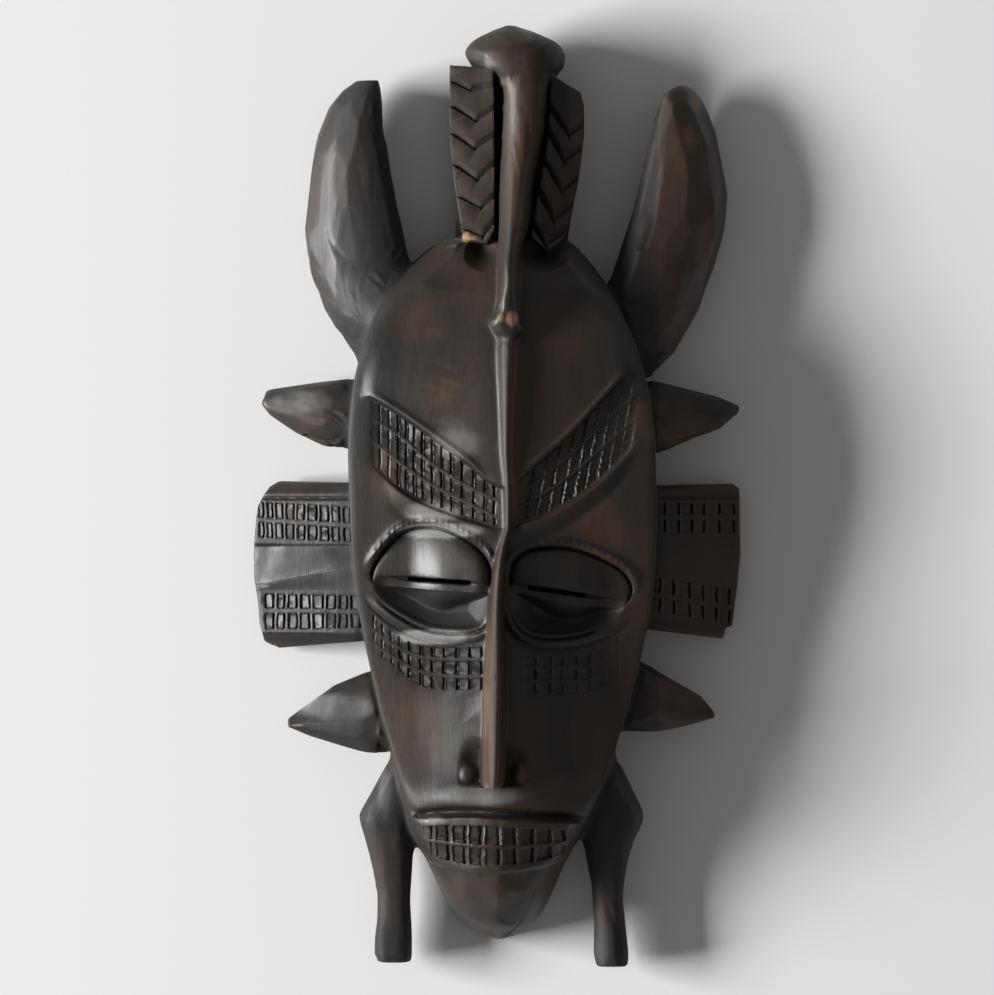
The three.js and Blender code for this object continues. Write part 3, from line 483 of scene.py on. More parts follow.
def brow_relief(x, y, u, rise=1.6, line=0.8, swelling=1.2, sink=0.7):
    """The forehead stands out over the upper bands, which lie sunk, and a roll swells below them."""
    left = line_height(BANDS[0]["rails"][0] + [MEETING], np.minimum(x, MIDDLE))
    right = line_height([MEETING] + BANDS[1]["rails"][0], np.maximum(x, MIDDLE))
    edge = np.where(x < MIDDLE, left, right)
    low_left = line_height(BANDS[0]["rails"][3], np.clip(x, -50, 0))
    low_right = line_height(BANDS[1]["rails"][3], np.clip(x, 7, 57))
    lower = np.where(x < MIDDLE, low_left, low_right)
    beside = np.abs(x - MIDDLE)
    temple = step01((u - 0.84) / 0.12) * step01((66 - y) / 25)
    relief = -rise * step01((y - edge) / 1.8 + 0.6) * (1 - temple)
    relief -= line * bell(y - edge - 1.6, 1.5) * step01((beside - 6) / 8) * step01((0.9 - u) / 0.15)
    under = lower - y
    roll = swelling * step01(under / 1.6) * (1 - step01((under - 1.6) / 7.5)) - 0.5 * bell(under - 9.5, 2.5)
    relief -= roll * step01((x + 48) / 12) * step01((0.9 - u) / 0.2) * step01((beside - 2) / 8)
    relief += sink * step01((edge - y) / 1.2) * step01((y - lower) / 1.2 + 1) * step01((0.9 - u) / 0.12)
    return relief


def face_relief():
    """Depth carved into the plain face, over the XY plane; below zero where it is raised."""
    x, y = FACE_SHEET.x, FACE_SHEET.y
    u = face_share(x, y)
    relief = brow_relief(x, y, u)
    worn_ends = (0.45 + 0.55 * step01((x + 44) / 8)) * (1 - 0.6 * step01((x - 36) / 12))
    for band in BANDS:
        relief += pits(x, y, band) * step01((0.96 - u) / 0.08) * worn_ends
    for eye in EYES:
        relief += eye_relief(x, y, eye)
    relief += mouth_relief(x, y, u)
    relief += nose_relief(x, y)
    relief -= face_flats(x, y, u)
    cy, tall, deep = WING_HOLLOW_SIZE
    for cx, wide in WING_HOLLOWS:
        relief += deep * np.clip(1.3 - np.hypot((x - cx) / wide, (y - cy) / tall), 0, 1)
    return (relief * step01((1.25 - u) / 0.2)).astype(np.float32)


def plain_height(x, y):
    c, w, _, z = FACE_TRACK(y)
    lost, back, soft, power, cut = FORM_TRACK(y)
    u = np.clip(np.abs(x - c) / (w + cut), 0, 0.995)
    return z * roof_at(u, lost, back, soft)[0] * (1 - u ** power) ** (1 / CROWN_POWER)


def face_flats(x, y, u, wide=13.0, tall=17.0, reach=2.6, steepest=2.2, soft=0.6):
    """Height gained where the round of the face is left as broad flats by the knife."""
    rows, columns = np.meshgrid(np.arange(-185, 115, tall), np.arange(-68, 74, wide), indexing="ij")
    sx = (columns + RNG.uniform(-0.42, 0.42, rows.shape) * wide).ravel()
    sy = (rows + RNG.uniform(-0.42, 0.42, rows.shape) * tall).ravel()
    sz = plain_height(sx, sy)
    sdx = plain_height(sx + 0.5, sy) - plain_height(sx - 0.5, sy)
    sdy = plain_height(sx, sy + 0.5) - plain_height(sx, sy - 0.5)
    own = plain_height(x, y)
    best = np.full(x.shape, 9.0)
    for px, py, pz, dx, dy in zip(sx, sy, sz, sdx, sdy):
        if abs(dx) < steepest and abs(dy) < steepest:
            i = slice(*np.searchsorted(y[:, 0], (py - reach * tall, py + reach * tall)))
            j = slice(*np.searchsorted(x[0], (px - reach * wide, px + reach * wide)))
            gx, gy = x[i, j] - px, y[i, j] - py
            gap = pz + dx * gx + dy * gy - own[i, j]
            far = np.maximum(np.abs(gx) / wide, np.abs(gy) / tall)
            gap = np.hypot(gap, soft) - soft + 0.6 * np.maximum(far - 1.2, 0) ** 2
            best[i, j] = np.minimum(best[i, j], gap)
    fade = 0.2 + 0.55 * step01((-132 - y) / 14)
    return 0.8 * (np.clip(best, 0, 1.0) - 0.2) * step01((0.88 - u) / fade)


def mouth_relief(x, y, u, lip=1.8, groove=3.2, stand=3.0, gain=1.4):
    """The swollen lip, the groove under it, and the toothed band that stands below."""
    top = line_height(MOUTH_TOP, np.clip(x, -34, 34))
    low = line_height(MOUTH_LOW, np.clip(x, -34, 34))
    fade = step01((1.0 - u) / 0.22)
    relief = -lip * bell(y - top - 6.8, 5.2) * step01((1.0 - u) / 0.5)
    relief += groove * bell(y - top - 1.4, 1.25) * fade
    band = -(stand + gain * step01((y - low) / 18)) * step01((top - y) / 0.8) * step01((y - low) / 1.0) * fade
    return relief + (band + pits(x, y, TEETH) * fade)


def nose_relief(x, y, swelling=1.8):
    """A hollow that arches over each nostril, cut deepest beside the nose and ended sharply below."""
    relief = np.zeros(x.shape)
    for cx, side, deep in NOSTRILS:
        dx = (x - cx) * side
        arch = np.hypot(np.where(dx < 0, 0.3, 1.0) * dx / 6.2, np.maximum(y + 106, 0) / 10.5)
        ends = step01((y + 116.2) / 2.2)
        relief += deep * step01((1.1 - arch) / 1.0) * ends * (1.15 - 0.5 * np.clip(dx / 6.3, -1, 1))
        bump = np.hypot((x - (cx - 2.4 * (side < 0) + 1.5 * (side > 0))) / 2.6, (y + 110.6) / 4.2)
        relief -= swelling * step01(1.3 - bump) * ends
    return relief


FACE_RELIEF = face_relief()


def face(x, y, z):
    front, wall = face_form(x, y, np.maximum(z, 0))
    d = -joined(-front - FACE_SHEET.read(FACE_RELIEF, x, y), -wall, FRONT_FILLET)
    return FACE_TRACK.ended(d, y)


def hollow(x, y, z):
    """Distance to the hollow, which follows the face and closes in towards its ends."""
    near = np.minimum(y - HOLLOW[0], HOLLOW[1] - y)
    closes = WALL + HOLLOW_CLOSES * np.clip(1 - near / HOLLOW_END, 0, 1.2) ** 2.5
    grow = -np.minimum(closes, 30)
    front, wall = face_form(x, y, np.maximum(z, 0), grow)
    w = FACE_TRACK(y)[1] - closes
    return np.where(w > 1.0, np.maximum(-joined(-front, -wall, HOLLOW_FILLET), -near), 40.0)


def limb(rows, along_y, power, crown_power, lean=0.0):
    """A limb cut across X or Y; a lean moves its crest across, so that one flank is broad and one steep."""
    track = Track(centred(rows))

    def distance(x, y, z):
        across, along = (x, y) if along_y else (y, x)
        if lean:
            across = across - lean * (z - track(along)[2])
        d = section(across, along, z, track, power, crown_power)
        return track.ended(d, along)

    reach = min(row[1] for row in rows), max(row[2] for row in rows)
    span = track.low, track.high
    return distance, ((reach, span) if along_y else (span, reach))


def blade(rows, flank):
    """A ridge on the face whose narrow crest leans to the left and whose flanks fall by the same height."""
    track = Track(rows)

    def distance(x, y, z):
        c, w, top, flat = track(y)
        slope = flank / w
        out = x - c
        over = np.abs(out) - flat
        roof = top - 0.5 * np.clip(flat - out, 0, 2 * flat)
        roof = roof - 0.5 * (over + np.sqrt(over * over + 0.25)) * slope
        d = (z - roof) / np.sqrt(1 + slope * slope)
        return track.ended(d, y)

    reach = min(row[1] - row[2] for row in rows) - 3, max(row[1] + row[2] for row in rows) + 3
    return distance, (reach, (track.low, track.high))


def plate(outline, front, back, smooth=0.6):
    """A board with a flat back and a carved front, given as a function of x and y."""
    points = np.asarray(outline, float)
    (x0, y0), (x1, y1) = points.min(0) - 3, points.max(0) + 3
    sheet = Sheet(x0, x1, y0, y1, SHEET_STEP)
    rim = outline_distance(points, sheet.x, sheet.y).astype(np.float32)
    height = front(sheet.x, sheet.y).astype(np.float32)

    def distance(x, y, z):
        d = sheet.read(rim, x, y)
        top = (z - sheet.read(height, x, y)) * 0.97
        d = -joined(-d, -top, smooth)
        return np.maximum(d, back - z)

    return distance, ((x0, x1), (y0, y1))


def wing(shape):
    """A board whose front is stepped by chevrons, each cut deepest just below its arms."""
    def front(x, y):
        height = shape["front"] - shape["fall"] * (x - shape["outline"][0][0])
        depth = np.zeros(x.shape)
        for lx, ly, ax, ay, rx, ry in shape["chevrons"]:
            slope = np.where(x < ax, (ly - ay) / (lx - ax), (ry - ay) / (rx - ax))
            arm = np.where(x < ax, ay + (x - ax) * (ly - ay) / (lx - ax),
                           ay + (x - ax) * (ry - ay) / (rx - ax))
            below = (arm + 2.4 - y) / np.sqrt(1 + slope * slope)
            bite = shape["bite"] * (1.0 + 1.3 * np.clip((ax - x) / (ax - lx), 0, 1.1))
            cut = np.clip(below / 2.4, 0, 1) * step01((2.75 - below) / 0.35)
            depth = np.maximum(depth, np.where(x < ax, bite, 1.4) * cut)
        return height - depth

    return plate(shape["outline"], front, WING_BACK)


def flange(shape, bands):
    """An ear board that falls away from the face, with a faceted swelling between its two pitted bands."""
    profile = Track(FLANGE_PROFILE)

    def front(x, y):
        out = np.maximum(0, np.abs(x) - abs(shape["root"]))
        height = profile(y)[0] - shape["fall"] * out
        crest = -27.9 - 0.17 * out
        low_side = 1 - (crest - y) / np.maximum(crest + 37.5, 1.5)
        swell = np.where(y > crest, (-18.5 - y) / (-18.5 - crest), low_side)
        height = height + (2.6 - 0.03 * out) * np.clip(swell, 0, 1)
        for fx, fy, turn, dig in FLANGE_FLATS:
            side = (np.abs(x) - fx) * math.cos(turn) + (y - fy) * math.sin(turn)
            height = height - np.clip(dig * side, 0, 0.8) * step01((-18.5 - y) / 1.5) * step01((y + 37) / 1.5)
        for band in bands:
            height = height - pits(x, y, band)
        return height

    return plate(shape["outline"], front, FLANGE_BACK)


def lines(x0, x1, starts, ends):
    """Straight rails between two X, by their Y at both."""
    return [[(x0, a), (x1, b)] for a, b in zip(starts, ends)]


# Knife flats on both flanges: X out from the middle, Y, direction and slope; then their pitted bands.
FLANGE_FLATS = [(66, -27, 2.6, 0.1), (88, -25, 0.35, 0.16), (76, -30, 1.2, 0.12)]
CELLS = dict(lean=0.0, rib=1.1, rail=2.2, cut=0.9, wall=0.45, start=0.9, end=0.2, deep=1.9)
FLANGE_BANDS = [
    [dict(rails=lines(-99, -58, (-0.6, -8.8, -17), (-3, -11.4, -19)), **CELLS,
          ribs=[-97.6, -94.2, -90.6, -86.4, -81.8, -77.4, -72.4, -67.6, -63, -58.6]),
     dict(rails=lines(-99, -55, (-38, -45.8, -54.4), (-38.6, -46, -53.6)), **CELLS,
          ribs=[-95, -90, -85.6, -80.6, -75.4, -69.8, -64.8, -60, -54.8])],
    [dict(rails=lines(60, 99, (-1, -8, -15.4), (-1.6, -8, -15.4)), **CELLS,
          ribs=[62, 68, 73.8, 79.2, 84, 90.4, 96.2]),
     dict(rails=lines(60, 97, (-30.6, -38.6, -46.4), (-36.4, -45, -52.4)), **CELLS,
          ribs=[60.5, 66, 71.7, 78.2, 83.6, 89.2, 94.4])],
]

# The board behind the bird that carries the wings.
CREST_BOARD = [(-17, 100), (28, 100), (31, 122), (29, 152), (22, 166), (-15, 168), (-16, 140)]
CREST_BOARD_FRONT = 15.0

# Everything that stands on the face, with the width of the fillet that joins it, then the distance round
# its box within which a part is worked out.
PARTS = [
    *[(limb(rows, True, 2.2, 1.9, lean), 1.2) for rows, lean in ((HORN_LEFT, 0.4), (HORN_RIGHT, -0.5))],
    *[(limb(rows, True, 2.8, 2.2), 4.0) for rows in (LEG_LEFT, LEG_RIGHT)],
    *[(limb(rows, False, 1.75, 1.9, lean), 1.5) for rows, lean in zip(SPIKES, (-0.25, 0, -0.5, 0))],
    *[(flange(shape, bands), 1.5) for shape, bands in zip(FLANGES, FLANGE_BANDS)],
    (plate(CREST_BOARD, lambda x, y: np.full(x.shape, CREST_BOARD_FRONT), WING_BACK), 1.5),
    *[(wing(shape), 1.0) for shape in WINGS],
    (limb(BIRD, True, 2.3, 2.2), 1.2), (blade(RIDGE, 8.0), 1.5), (blade(NOSE, 20.0), 0.5),
]
REACH = 7.0


def field(x, y, z):
    """Signed distance to the whole carving in millimetres, negative in the wood."""
    d = face(x, y, z)
    for (distance, ((x0, x1), (y0, y1))), k in PARTS:
        near = np.flatnonzero((x > x0 - REACH) & (x < x1 + REACH) & (y > y0 - REACH) & (y < y1 + REACH))
        if len(near):
            d[near] = joined(d[near], distance(x[near], y[near], z[near]), k)
    d = -joined(-d, hollow(x, y, z), RIM_FILLET)
    for eye in EYES:
        ax, ay, bx, by = eye["pierced"]
        near = np.flatnonzero((x > ax - 3) & (x < bx + 3) & (np.abs(y - (ay + by) / 2) < 6) & (z > 5))
        if len(near):
            slit = line_distance(x[near], y[near], ax, ay, bx, by) - SLIT_HALF
            d[near] = np.maximum(d[near], -slit)
    return np.maximum(d, -z)


def evaluate(x, y, z, chunk=600000):
    """The field at any number of points, a chunk at a time."""
    out = np.empty(len(x), np.float32)
    for i in range(0, len(x), chunk):
        part = slice(i, i + chunk)
        out[part] = field(x[part], y[part], z[part])
    return out


def sampled():
    """The field on a regular grid, worked out finely only near the surface."""
    counts = (np.ceil((GRID_HIGH - GRID_LOW) / (CELL * BLOCK)).astype(int)) * BLOCK
    axes = [GRID_LOW[k] + CELL * np.arange(counts[k] + 1, dtype=np.float32) for k in range(3)]
    coarse = [axis[::BLOCK] for axis in axes]
    gx, gy, gz = np.meshgrid(*coarse, indexing="ij")
    rough = evaluate(gx.ravel(), gy.ravel(), gz.ravel()).reshape(gx.shape)
    n = np.array(rough.shape) - 1
    corners = [rough[i:i + n[0], j:j + n[1], k:k + n[2]] for i in (0, 1) for j in (0, 1) for k in (0, 1)]
    nearest = np.min(np.abs(corners), axis=0)
    changes = (np.min(corners, axis=0) < 0) & (np.max(corners, axis=0) > 0)
    active = (nearest < 1.1 * CELL * BLOCK) | changes
    grid = np.where(rough[:-1, :-1, :-1] < 0, np.float32(-9), np.float32(9))
    for axis in range(3):
        grid = np.repeat(grid, BLOCK, axis)
    grid = np.pad(grid, ((0, 1),) * 3, constant_values=9)
    steps = np.meshgrid(*[np.arange(BLOCK)] * 3, indexing="ij")
    fine = tuple((c[:, None] * BLOCK + step.ravel()).ravel() for c, step in zip(np.nonzero(active), steps))
    grid[fine] = evaluate(*(axis[i] for axis, i in zip(axes, fine)))
    return grid


def netted(grid):
    """A closed quad mesh through the cells that the surface crosses."""
    shape = grid.shape
    strides = np.array([shape[1] * shape[2], shape[2], 1])
    inside = grid < 0
    flat = grid.ravel()
    quads, crossings = [], []
    for axis in range(3):
        start = np.flatnonzero(np.diff(inside, axis=axis, append=False))
        v0, v1 = flat[start], flat[start + strides[axis]]
        t = v0 / (v0 - v1)
        place = np.stack(np.unravel_index(start, shape), 1).astype(np.float32)
        place[:, axis] += t
        p, q = strides[(axis + 1) % 3], strides[(axis + 2) % 3]
        cells = np.stack([start - p - q, start - q, start, start - p], 1)
        cells = np.where((v0 < 0)[:, None], cells, cells[:, ::-1])
        quads.append(cells)
        crossings.append(place)
    quads = np.concatenate(quads)
    places = np.repeat(np.concatenate(crossings), 4, 0)
    names, index = np.unique(quads.ravel(), return_inverse=True)
    count = np.bincount(index, minlength=len(names))
    points = np.stack([np.bincount(index, places[:, k], len(names)) / count for k in range(3)], 1)
    return GRID_LOW + points * CELL, index.reshape(-1, 4)


def slopes(points, reach=0.3):
    """Gradient of the field at points, by steps each way."""
    out = np.empty_like(points)
    for k, step in enumerate(np.eye(3) * reach):
        out[:, k] = (evaluate(*(points + step).T) - evaluate(*(points - step).T)) / (2 * reach)
    return out


def scattered(points, stretch, size, seed):
    """Squared distance to the nearest of the points scattered about a stretched lattice, in units of size."""
    q = points / (np.asarray(stretch) * size)
    base = np.floor(q).astype(np.int64)
    best = np.full(len(q), 9.0)
    for offset in np.ndindex(3, 3, 3):
        c = base + offset - 1
        h = (c[:, 0] * 73856093) ^ (c[:, 1] * 19349663) ^ (c[:, 2] * 83492791) ^ seed
        jitter = np.stack([((h * m) >> 8) % 1024 / 1024 for m in (1103515245, 134775813, 214013)], 1)
        best = np.minimum(best, (((c + 0.15 + 0.7 * jitter) - q) ** 2).sum(1))
    return best


def knife_flats(points, normals, chosen, pitch):
    """Height to add so that round limbs turn into flats, one to each cell of a stretched lattice."""
    own = points[chosen]
    facing = normals[chosen]
    cell = np.floor((own - own.min(0)) / pitch).astype(np.int64) + 2
    shape = cell.max(0) + 3
    key = (cell[:, 0] * shape[1] + cell[:, 1]) * shape[2] + cell[:, 2]
    order = RNG.permutation(len(own))
    names, first = np.unique(key[order], return_index=True)
    site = np.full(shape.prod(), -1)
    site[names] = order[first]
    best = np.full(len(own), -9.0)
    for step in np.ndindex(3, 3, 3):
        i, j, k = np.array(step) - 1
        other = site[key + (i * shape[1] + j) * shape[2] + k]
        plane = (facing[other] * (own - own[other])).sum(1)
        alike = (facing[other] * facing).sum(1)
        plane = np.where(plane > 0.12, 0.24 - plane, plane) - 3.0 * np.maximum(0, 0.72 - alike)
        best = np.where(other >= 0, np.maximum(best, plane), best)
    out = np.zeros(len(points))
    out[chosen] = np.clip(-best, -0.3, 1.2)
    return out


def evened(values, quads, passes):
    """Values at the points of a mesh, evened with their neighbours."""
    ahead = np.roll(quads, -1, 1)
    here = np.concatenate([quads, ahead]).ravel()
    there = np.concatenate([ahead, quads]).ravel()
    count = np.bincount(here, minlength=len(values))
    for _ in range(passes):
        values = 0.4 * values + 0.6 * np.bincount(here, values[there], len(values)) / count
    return values


def tool_marks(points, normals, quads):
    """Height left by the tools: flats on horns, legs, spikes and bird, scoops in the hollow."""
    x, y, z = points.T
    u = face_share(x, y)
    c, w = FACE_TRACK(y)[:2]
    off_face = np.maximum(step01((np.abs(x - c) - w - 0.5) / 3), step01((y - 100) / 6))
    off_face *= 1 - step01((-140 - y) / 5) * step01((34 - np.abs(x)) / 2)
    flanges = (np.abs(x) > 55) & between(y, -64, 8)
    wings = between(y, 98, 175) & between(x, -22, 0) | between(y, 96, 172) & between(x, 21, 38)
    spikes = (np.abs(x) > 48) & (between(y, 8, 50) | between(y, -104, -60))
    legs = (y < -108) & (np.abs(x) > 30)
    bird = (y > 60) & (np.abs(x - 6) < 24)
    proud = step01((z - plain_height(x, y) - 3) / 3)
    outside = (normals[:, 2] > -0.35) & ((off_face > 0) | bird & (z > 40)) & ~flanges & ~wings
    height = np.zeros(len(points))
    for chosen, pitch, share in ((outside & ~spikes & ~bird, (8.0, 17.0, 8.0), 1.0),
                                 (outside & spikes, (17.0, 9.0, 9.0), 1.0),
                                 (outside & bird, (8.0, 26.0, 9.0), 0.4)):
        flats = knife_flats(points, normals, np.flatnonzero(chosen), np.array(pitch))
        height += share * (flats - 0.25 * chosen)
    height *= np.maximum(off_face, (bird & (z > 40)) * proud) * (1 - 0.5 * legs)
    height *= 1 - step01((y - 162) / 4) * (x < -40)
    inside = (normals[:, 2] < 0.2) & (z > 0.6) & (u < 0.93)
    scoops = 0.8 * scattered(points, (1, 1.8, 1), 9.0, 21) - 0.3
    height = evened(np.where(inside, scoops, height), quads, 2)
    return np.where((z < 0.4) & (normals[:, 2] < -0.5), 0, height)


def placed(name, data, location=(0, 0, 0)):
    obj = bpy.data.objects.new(name, data)
    obj.location = location
    bpy.context.scene.collection.objects.link(obj)
    return obj


def mesh_of(points, quads, name):
    mesh = bpy.data.meshes.new(name)
    mesh.vertices.add(len(points))
    mesh.vertices.foreach_set("co", np.ascontiguousarray(points, np.float32).ravel())
    mesh.loops.add(quads.size)
    mesh.loops.foreach_set("vertex_index", quads.astype(np.int32).ravel())
    mesh.polygons.add(len(quads))
    mesh.polygons.foreach_set("loop_start", np.arange(0, quads.size, quads.shape[1], dtype=np.int32))
    mesh.update(calc_edges=True)
    mesh.validate()
    return mesh


def carving():
    points, quads = netted(sampled())
    gradient = slopes(points)
    length = np.linalg.norm(gradient, axis=1) + 1e-6
    off = evaluate(*points.T) / length
    normals = gradient / length[:, None]
    points = points - np.clip(off, -0.4, 0.4)[:, None] * normals
    points = points + tool_marks(points, normals, quads)[:, None] * normals
    points[:, 2] = np.maximum(points[:, 2], 0)
    obj = placed("mask_carving", mesh_of((points + SHIFT) * MM, quads, "mask_carving"))
    modifier = obj.modifiers.new("fewer", "DECIMATE")
    modifier.ratio = FACES / (2 * len(quads))
    bpy.context.view_layer.update()
    evaluated = obj.evaluated_get(bpy.context.evaluated_depsgraph_get())
    fewer = bpy.data.meshes.new_from_object(evaluated)
    obj.modifiers.clear()
    obj.data = fewer
    fewer.name = "mask_carving"
    fewer.polygons.foreach_set("use_smooth", np.ones(len(fewer.polygons), bool))
    fewer.set_sharp_from_angle(angle=math.radians(42))
    return obj


def vertex_array(mesh, name):
    values = np.empty(len(mesh.vertices) * 3, np.float32)
    mesh.vertices.foreach_get(name, values)
    return values.reshape(-1, 3)


# Marks as boxes of X and Y and a strength: warm wood and bare wood left by age, painted highlights, and boxes
# darkened as painted shade.
WARM = [(-30, -16, 36, 54, 0.45), (-44, -24, -110, -78, 0.4), (64, 86, 55, 150, 0.4),
        (78, 82.5, 157, 163, 1.5), (75.5, 80, 141, 149, 1.4), (-19.5, -12, 106, 142, 0.55),
        (6.2, 9.8, 80, 146, 0.6), (7, 12.5, -114.5, -108, 1.0), (55, 60, -137, -120, 0.8),
        (40, 54, -180, -140, 0.35), (-50, -36, -175, -135, 0.3), (-50, -40, -5, 20, 0.4),
        (22, 34, 102, 130, 0.35), (-40, -20, 60, 80, 0.25), (30, 50, -30, 0, 0.3), (30, 46, -110, -80, 0.3),
        (-80, -60, 26, 40, 0.25), (55, 85, 20, 40, 0.35), (60, 80, -90, -72, 0.4),
        (-20, 20, -165, -150, 0.25)]
# Painted highlights: pale grey spots on the lit eye rim and rolls, the left spikes, the knee, lips, nostril
# and the left brow.
PAINTED_HIGHLIGHTS = [(-38, -8, -16, -10.5, 1.8), (-40, -10, -58.5, -53, 1.5), (-80, -50, -89, -80, 1.1),
        (-91, -68, 34, 43, 0.8), (-47.5, -42.5, -129, -110, 1.0), (-22, 10, -123, -115, 0.6),
        (-33, -16, -34, -14, 0.25), (-26, -8, 16, 28, 0.5), (-36, -16, -10, -2, 0.9),
        (-13.5, -9.6, -114, -107.5, 0.9), (-32, -22, -131, -127, 0.8), (-6, 2, 155, 178, 0.15),
        (-35, -10, -110, -80, 0.2)]
# Painted shade: darker boxes in the socket recesses, the hollows under the wings, along the bird's neck and
# under the lower left spike; the legs are darkened too.
DARK = [(-43, -6, -52, -37, 0.8), (8, 50, -54, -44, 0.8), (-52, -33, -188, -140, 0.35),
        (37, 54, -189, -140, 0.35), (-13, 3, 92, 101, 0.9), (9, 27, 92, 101, 0.9), (0, 6.5, 96, 165, 0.55),
        (-84, -50, -101, -92, 0.5)]
BARE = [(3.6, 8.2, 68.5, 74, 0.9), (-13.8, -10.8, 102.6, 106.6, 1.0), (0.2, 2.4, 70, 73, 0.5)]


def surface_marks(obj):
    """Per-vertex shares: rubbed edges, painted shade in hollows and in boxes, painted highlights, and the
    spots of warm and bare wood.
    """
    mesh = obj.data
    points = vertex_array(mesh, "co") / MM - SHIFT
    normals = vertex_array(mesh, "normal")
    x, y, _ = points.T
    u = face_share(x, y)
    on_face = np.abs(x) < 65
    facing_up = normals[:, 2] > 0
    out1 = evaluate(*(points + normals * 0.9).T)
    out2 = evaluate(*(points + normals * 3.0).T)
    in1 = -evaluate(*(points - normals * 0.9).T)

    def spots(rows):
        total = np.zeros(len(points))
        for x0, x1, y0, y1, strength in rows:
            away = np.hypot((x - (x0 + x1) / 2) / (x1 - x0) * 2, (y - (y0 + y1) / 2) / (y1 - y0) * 2)
            total = np.maximum(total, strength * step01((1.35 - away) / 0.7))
        return total

    rubbed = np.clip((0.86 - in1 / 0.9) * 2.2, 0, 1)
    rubbed *= 1 - 0.8 * step01((u - 0.93) / 0.04) * on_face
    # Painted shade: darker in hollows and creases, in the dark boxes, and along the rim of the face.
    painted_shade = np.clip((0.93 - out1 / 0.9) * 1.6, 0, 1) * 0.6 + np.clip((0.95 - out2 / 3.0) * 1.3, 0, 1) * 0.6
    painted_shade = np.maximum(painted_shade, spots(DARK)) + 0.6 * step01((u - 0.96) / 0.02) * on_face
    nose = Track(NOSE)(y)[0]
    flank = step01((x - nose + 5.2) / 1.0) * step01((nose - 1.2 - x) / 0.6) * step01((y + 117) / 2)
    crest = bell(x - nose, 1.8) * step01((y + 117) / 2) * step01((-20 - y) / 12)
    side = bell(x - Track(RIDGE)(y)[0] - 2.6, 1.6) * step01((y + 12) / 8) * step01((68 - y) / 6)
    warm = np.maximum(spots(WARM), np.maximum(flank * 0.7 * step01((-42 - y) / 16), 0.6 * crest))
    # The dark share is painted shade and the pale grey spots are painted highlights.
    shares = dict(rubbed=rubbed, painted_shade=np.clip(painted_shade, 0, 1), bare=spots(BARE) * facing_up,
                  warm=np.maximum(warm, 0.7 * side) * facing_up, painted_highlight=spots(PAINTED_HIGHLIGHTS) * facing_up)
    for name, values in shares.items():
        attribute = mesh.attributes.new(name, "FLOAT", "POINT")
        attribute.data.foreach_set("value", values.astype(np.float32))


# Colours of the wood: the stain by its patches, then the layers over it, each with what places it, its
# strength and its colour (the pale grey layer is a painted highlight, the near-black one painted shade); and
# how much the painted shade roughens.
STAIN = [(0.32, (0.014, 0.0125, 0.0105)), (0.5, (0.026, 0.0185, 0.0135)), (0.68, (0.062, 0.034, 0.019))]
# The pale grey layer is a painted highlight and the near-black layer is painted shade.
LAYERS = [("grain", 0.45, (0.011, 0.0095, 0.008)), ("rubbed", 0.22, (0.11, 0.075, 0.055)),
          ("warm", "broken", (0.13, 0.062, 0.03)), ("painted_highlight", "broken", (0.26, 0.25, 0.24)),
          ("painted_shade", 0.75, (0.01, 0.009, 0.008)), ("bare", 1.0, (0.45, 0.25, 0.13))]
PAINTED_SHADE_ROUGHENS = 0.28


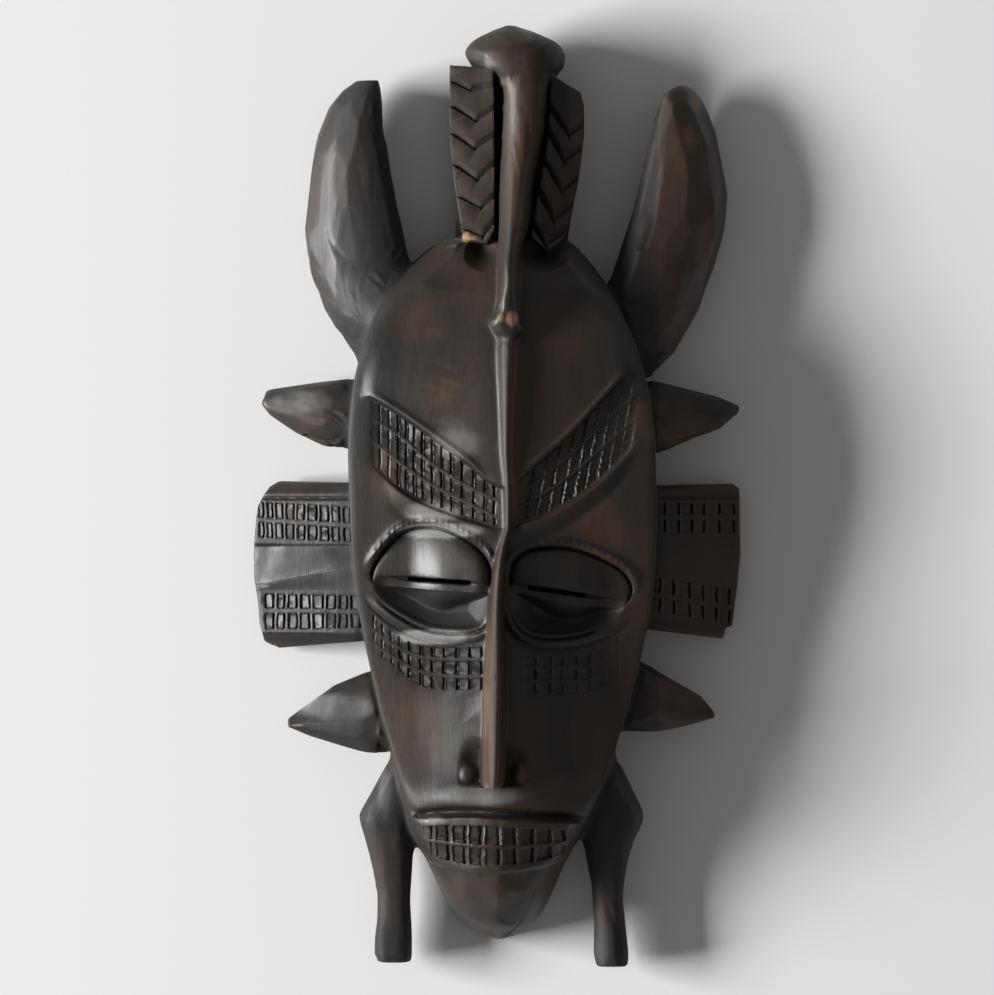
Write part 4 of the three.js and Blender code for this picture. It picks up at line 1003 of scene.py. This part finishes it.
def wood():
    """Stained wood whose grain runs along Y, worn, with painted highlights and painted shade from the shares
    kept in the mesh.
    """
    material = bpy.data.materials.new("stained_wood")
    material.use_nodes = True
    nodes, links = material.node_tree.nodes, material.node_tree.links
    shader = nodes["Principled BSDF"]
    place = nodes.new("ShaderNodeTexCoord")

    def fill(node, **inputs):
        for name, value in inputs.items():
            socket = node.inputs[name.replace("_", " ")]
            if isinstance(value, bpy.types.NodeSocket):
                links.new(value, socket)
            else:
                socket.default_value = (*value, 1) if isinstance(value, tuple) else value

    def noise(scale, detail, stretch=(1, 1, 1), rough=0.55):
        mapping = nodes.new("ShaderNodeMapping")
        mapping.inputs["Scale"].default_value = stretch
        links.new(place.outputs["Object"], mapping.inputs["Vector"])
        texture = nodes.new("ShaderNodeTexNoise")
        fill(texture, Scale=scale, Detail=detail, Roughness=rough, Vector=mapping.outputs["Vector"])
        return texture.outputs["Fac"]

    def ramp(value, stops):
        node = nodes.new("ShaderNodeValToRGB")
        elements = node.color_ramp.elements
        while len(elements) > 1:
            elements.remove(elements[-1])
        elements[0].position, elements[0].color = stops[0][0], (*stops[0][1], 1)
        for position, colour in stops[1:]:
            element = elements.new(position)
            element.color = (*colour, 1)
        fill(node, Fac=value)
        return node.outputs["Color"]

    def share(name):
        node = nodes.new("ShaderNodeAttribute")
        node.attribute_name = name
        return node.outputs["Fac"]

    def mixed(fac, a, b):
        node = nodes.new("ShaderNodeMix")
        node.data_type = "RGBA"
        fill(node, Factor=fac, A=a, B=b)
        return node.outputs["Result"]

    def maths(operation, *values):
        node = nodes.new("ShaderNodeMath")
        node.operation = operation
        node.use_clamp = operation == "MULTIPLY"
        for socket, value in zip(node.inputs, values):
            if isinstance(value, float):
                socket.default_value = value
            else:
                links.new(value, socket)
        return node.outputs["Value"]

    broken = ramp(noise(60, 4, (1, 0.3, 1)), [(0.35, (0.25, 0.25, 0.25)), (0.6, (1, 1, 1))])
    noises = dict(grain=noise(90, 6, (1, 0.09, 1)), broken=broken)
    colour = ramp(noise(16, 3, (1, 0.6, 1)), STAIN)
    for name, strength, layer in LAYERS:
        where = noises[name] if name in noises else share(name)
        colour = mixed(maths("MULTIPLY", where, noises.get(strength, strength)), colour, layer)
    smooth = ramp(noises["grain"], [(0.3, (0.4, 0.4, 0.4)), (0.7, (0.5, 0.5, 0.5))])
    bump = nodes.new("ShaderNodeBump")
    fill(bump, Strength=0.35, Distance=0.0006, Height=noise(160, 5, (1, 0.2, 1), 0.6))
    fill(shader, Base_Color=colour, Roughness=maths("MULTIPLY_ADD", share("painted_shade"), PAINTED_SHADE_ROUGHENS, smooth),
         IOR=1.5, Specular_IOR_Level=0.62, Normal=bump.outputs["Normal"])
    return material


# The light stands low on the left: its place in metres, width, height and power, and the glow of the room.
KEY_PLACE = (-4.57, 0.0, 2.03)
KEY_SIZE = (2.4, 1.3)
KEY_POWER = 445
ROOM_STRENGTH = 0.16


def key_light():
    data = bpy.data.lights.new("key", "AREA")
    data.shape = "RECTANGLE"
    data.size, data.size_y = KEY_SIZE
    data.energy = KEY_POWER
    obj = placed("key", data, KEY_PLACE)
    obj.rotation_euler = (-mathutils.Vector(KEY_PLACE)).to_track_quat("-Z", "Y").to_euler()


def studio():
    """A pale paper floor under a plain room, with the one light."""
    bpy.ops.mesh.primitive_plane_add(size=12, location=(0, 0, 0))
    floor = bpy.context.object
    floor.name = "floor"
    paper = bpy.data.materials.new("pale_paper")
    paper.use_nodes = True
    shader = paper.node_tree.nodes["Principled BSDF"]
    shader.inputs["Base Color"].default_value = (0.9, 0.9, 0.9, 1)
    shader.inputs["Roughness"].default_value = 0.9
    floor.data.materials.append(paper)
    world = bpy.data.worlds.new("room")
    bpy.context.scene.world = world
    world.use_nodes = True
    background = world.node_tree.nodes["Background"]
    background.inputs["Color"].default_value = (1, 1, 1, 1)
    background.inputs["Strength"].default_value = ROOM_STRENGTH
    key_light()


# The camera looks straight down: its height, the height at which the view is this wide, its sensor in mm.
CAMERA_HEIGHT = 3.0
VIEW_HEIGHT = 0.022
VIEW_WIDTH = 0.4014
SENSOR = 36


def camera():
    data = bpy.data.cameras.new("camera")
    data.sensor_width = SENSOR
    data.lens = SENSOR * (CAMERA_HEIGHT - VIEW_HEIGHT) / VIEW_WIDTH
    bpy.context.scene.camera = placed("camera", data, (SHIFT[0] * MM, SHIFT[1] * MM, CAMERA_HEIGHT))


mask = carving()
surface_marks(mask)
mask.data.materials.clear()
mask.data.materials.append(wood())
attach(mask, "root")
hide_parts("mask")
studio()
camera()
bpy.context.scene.view_settings.view_transform = "Standard"
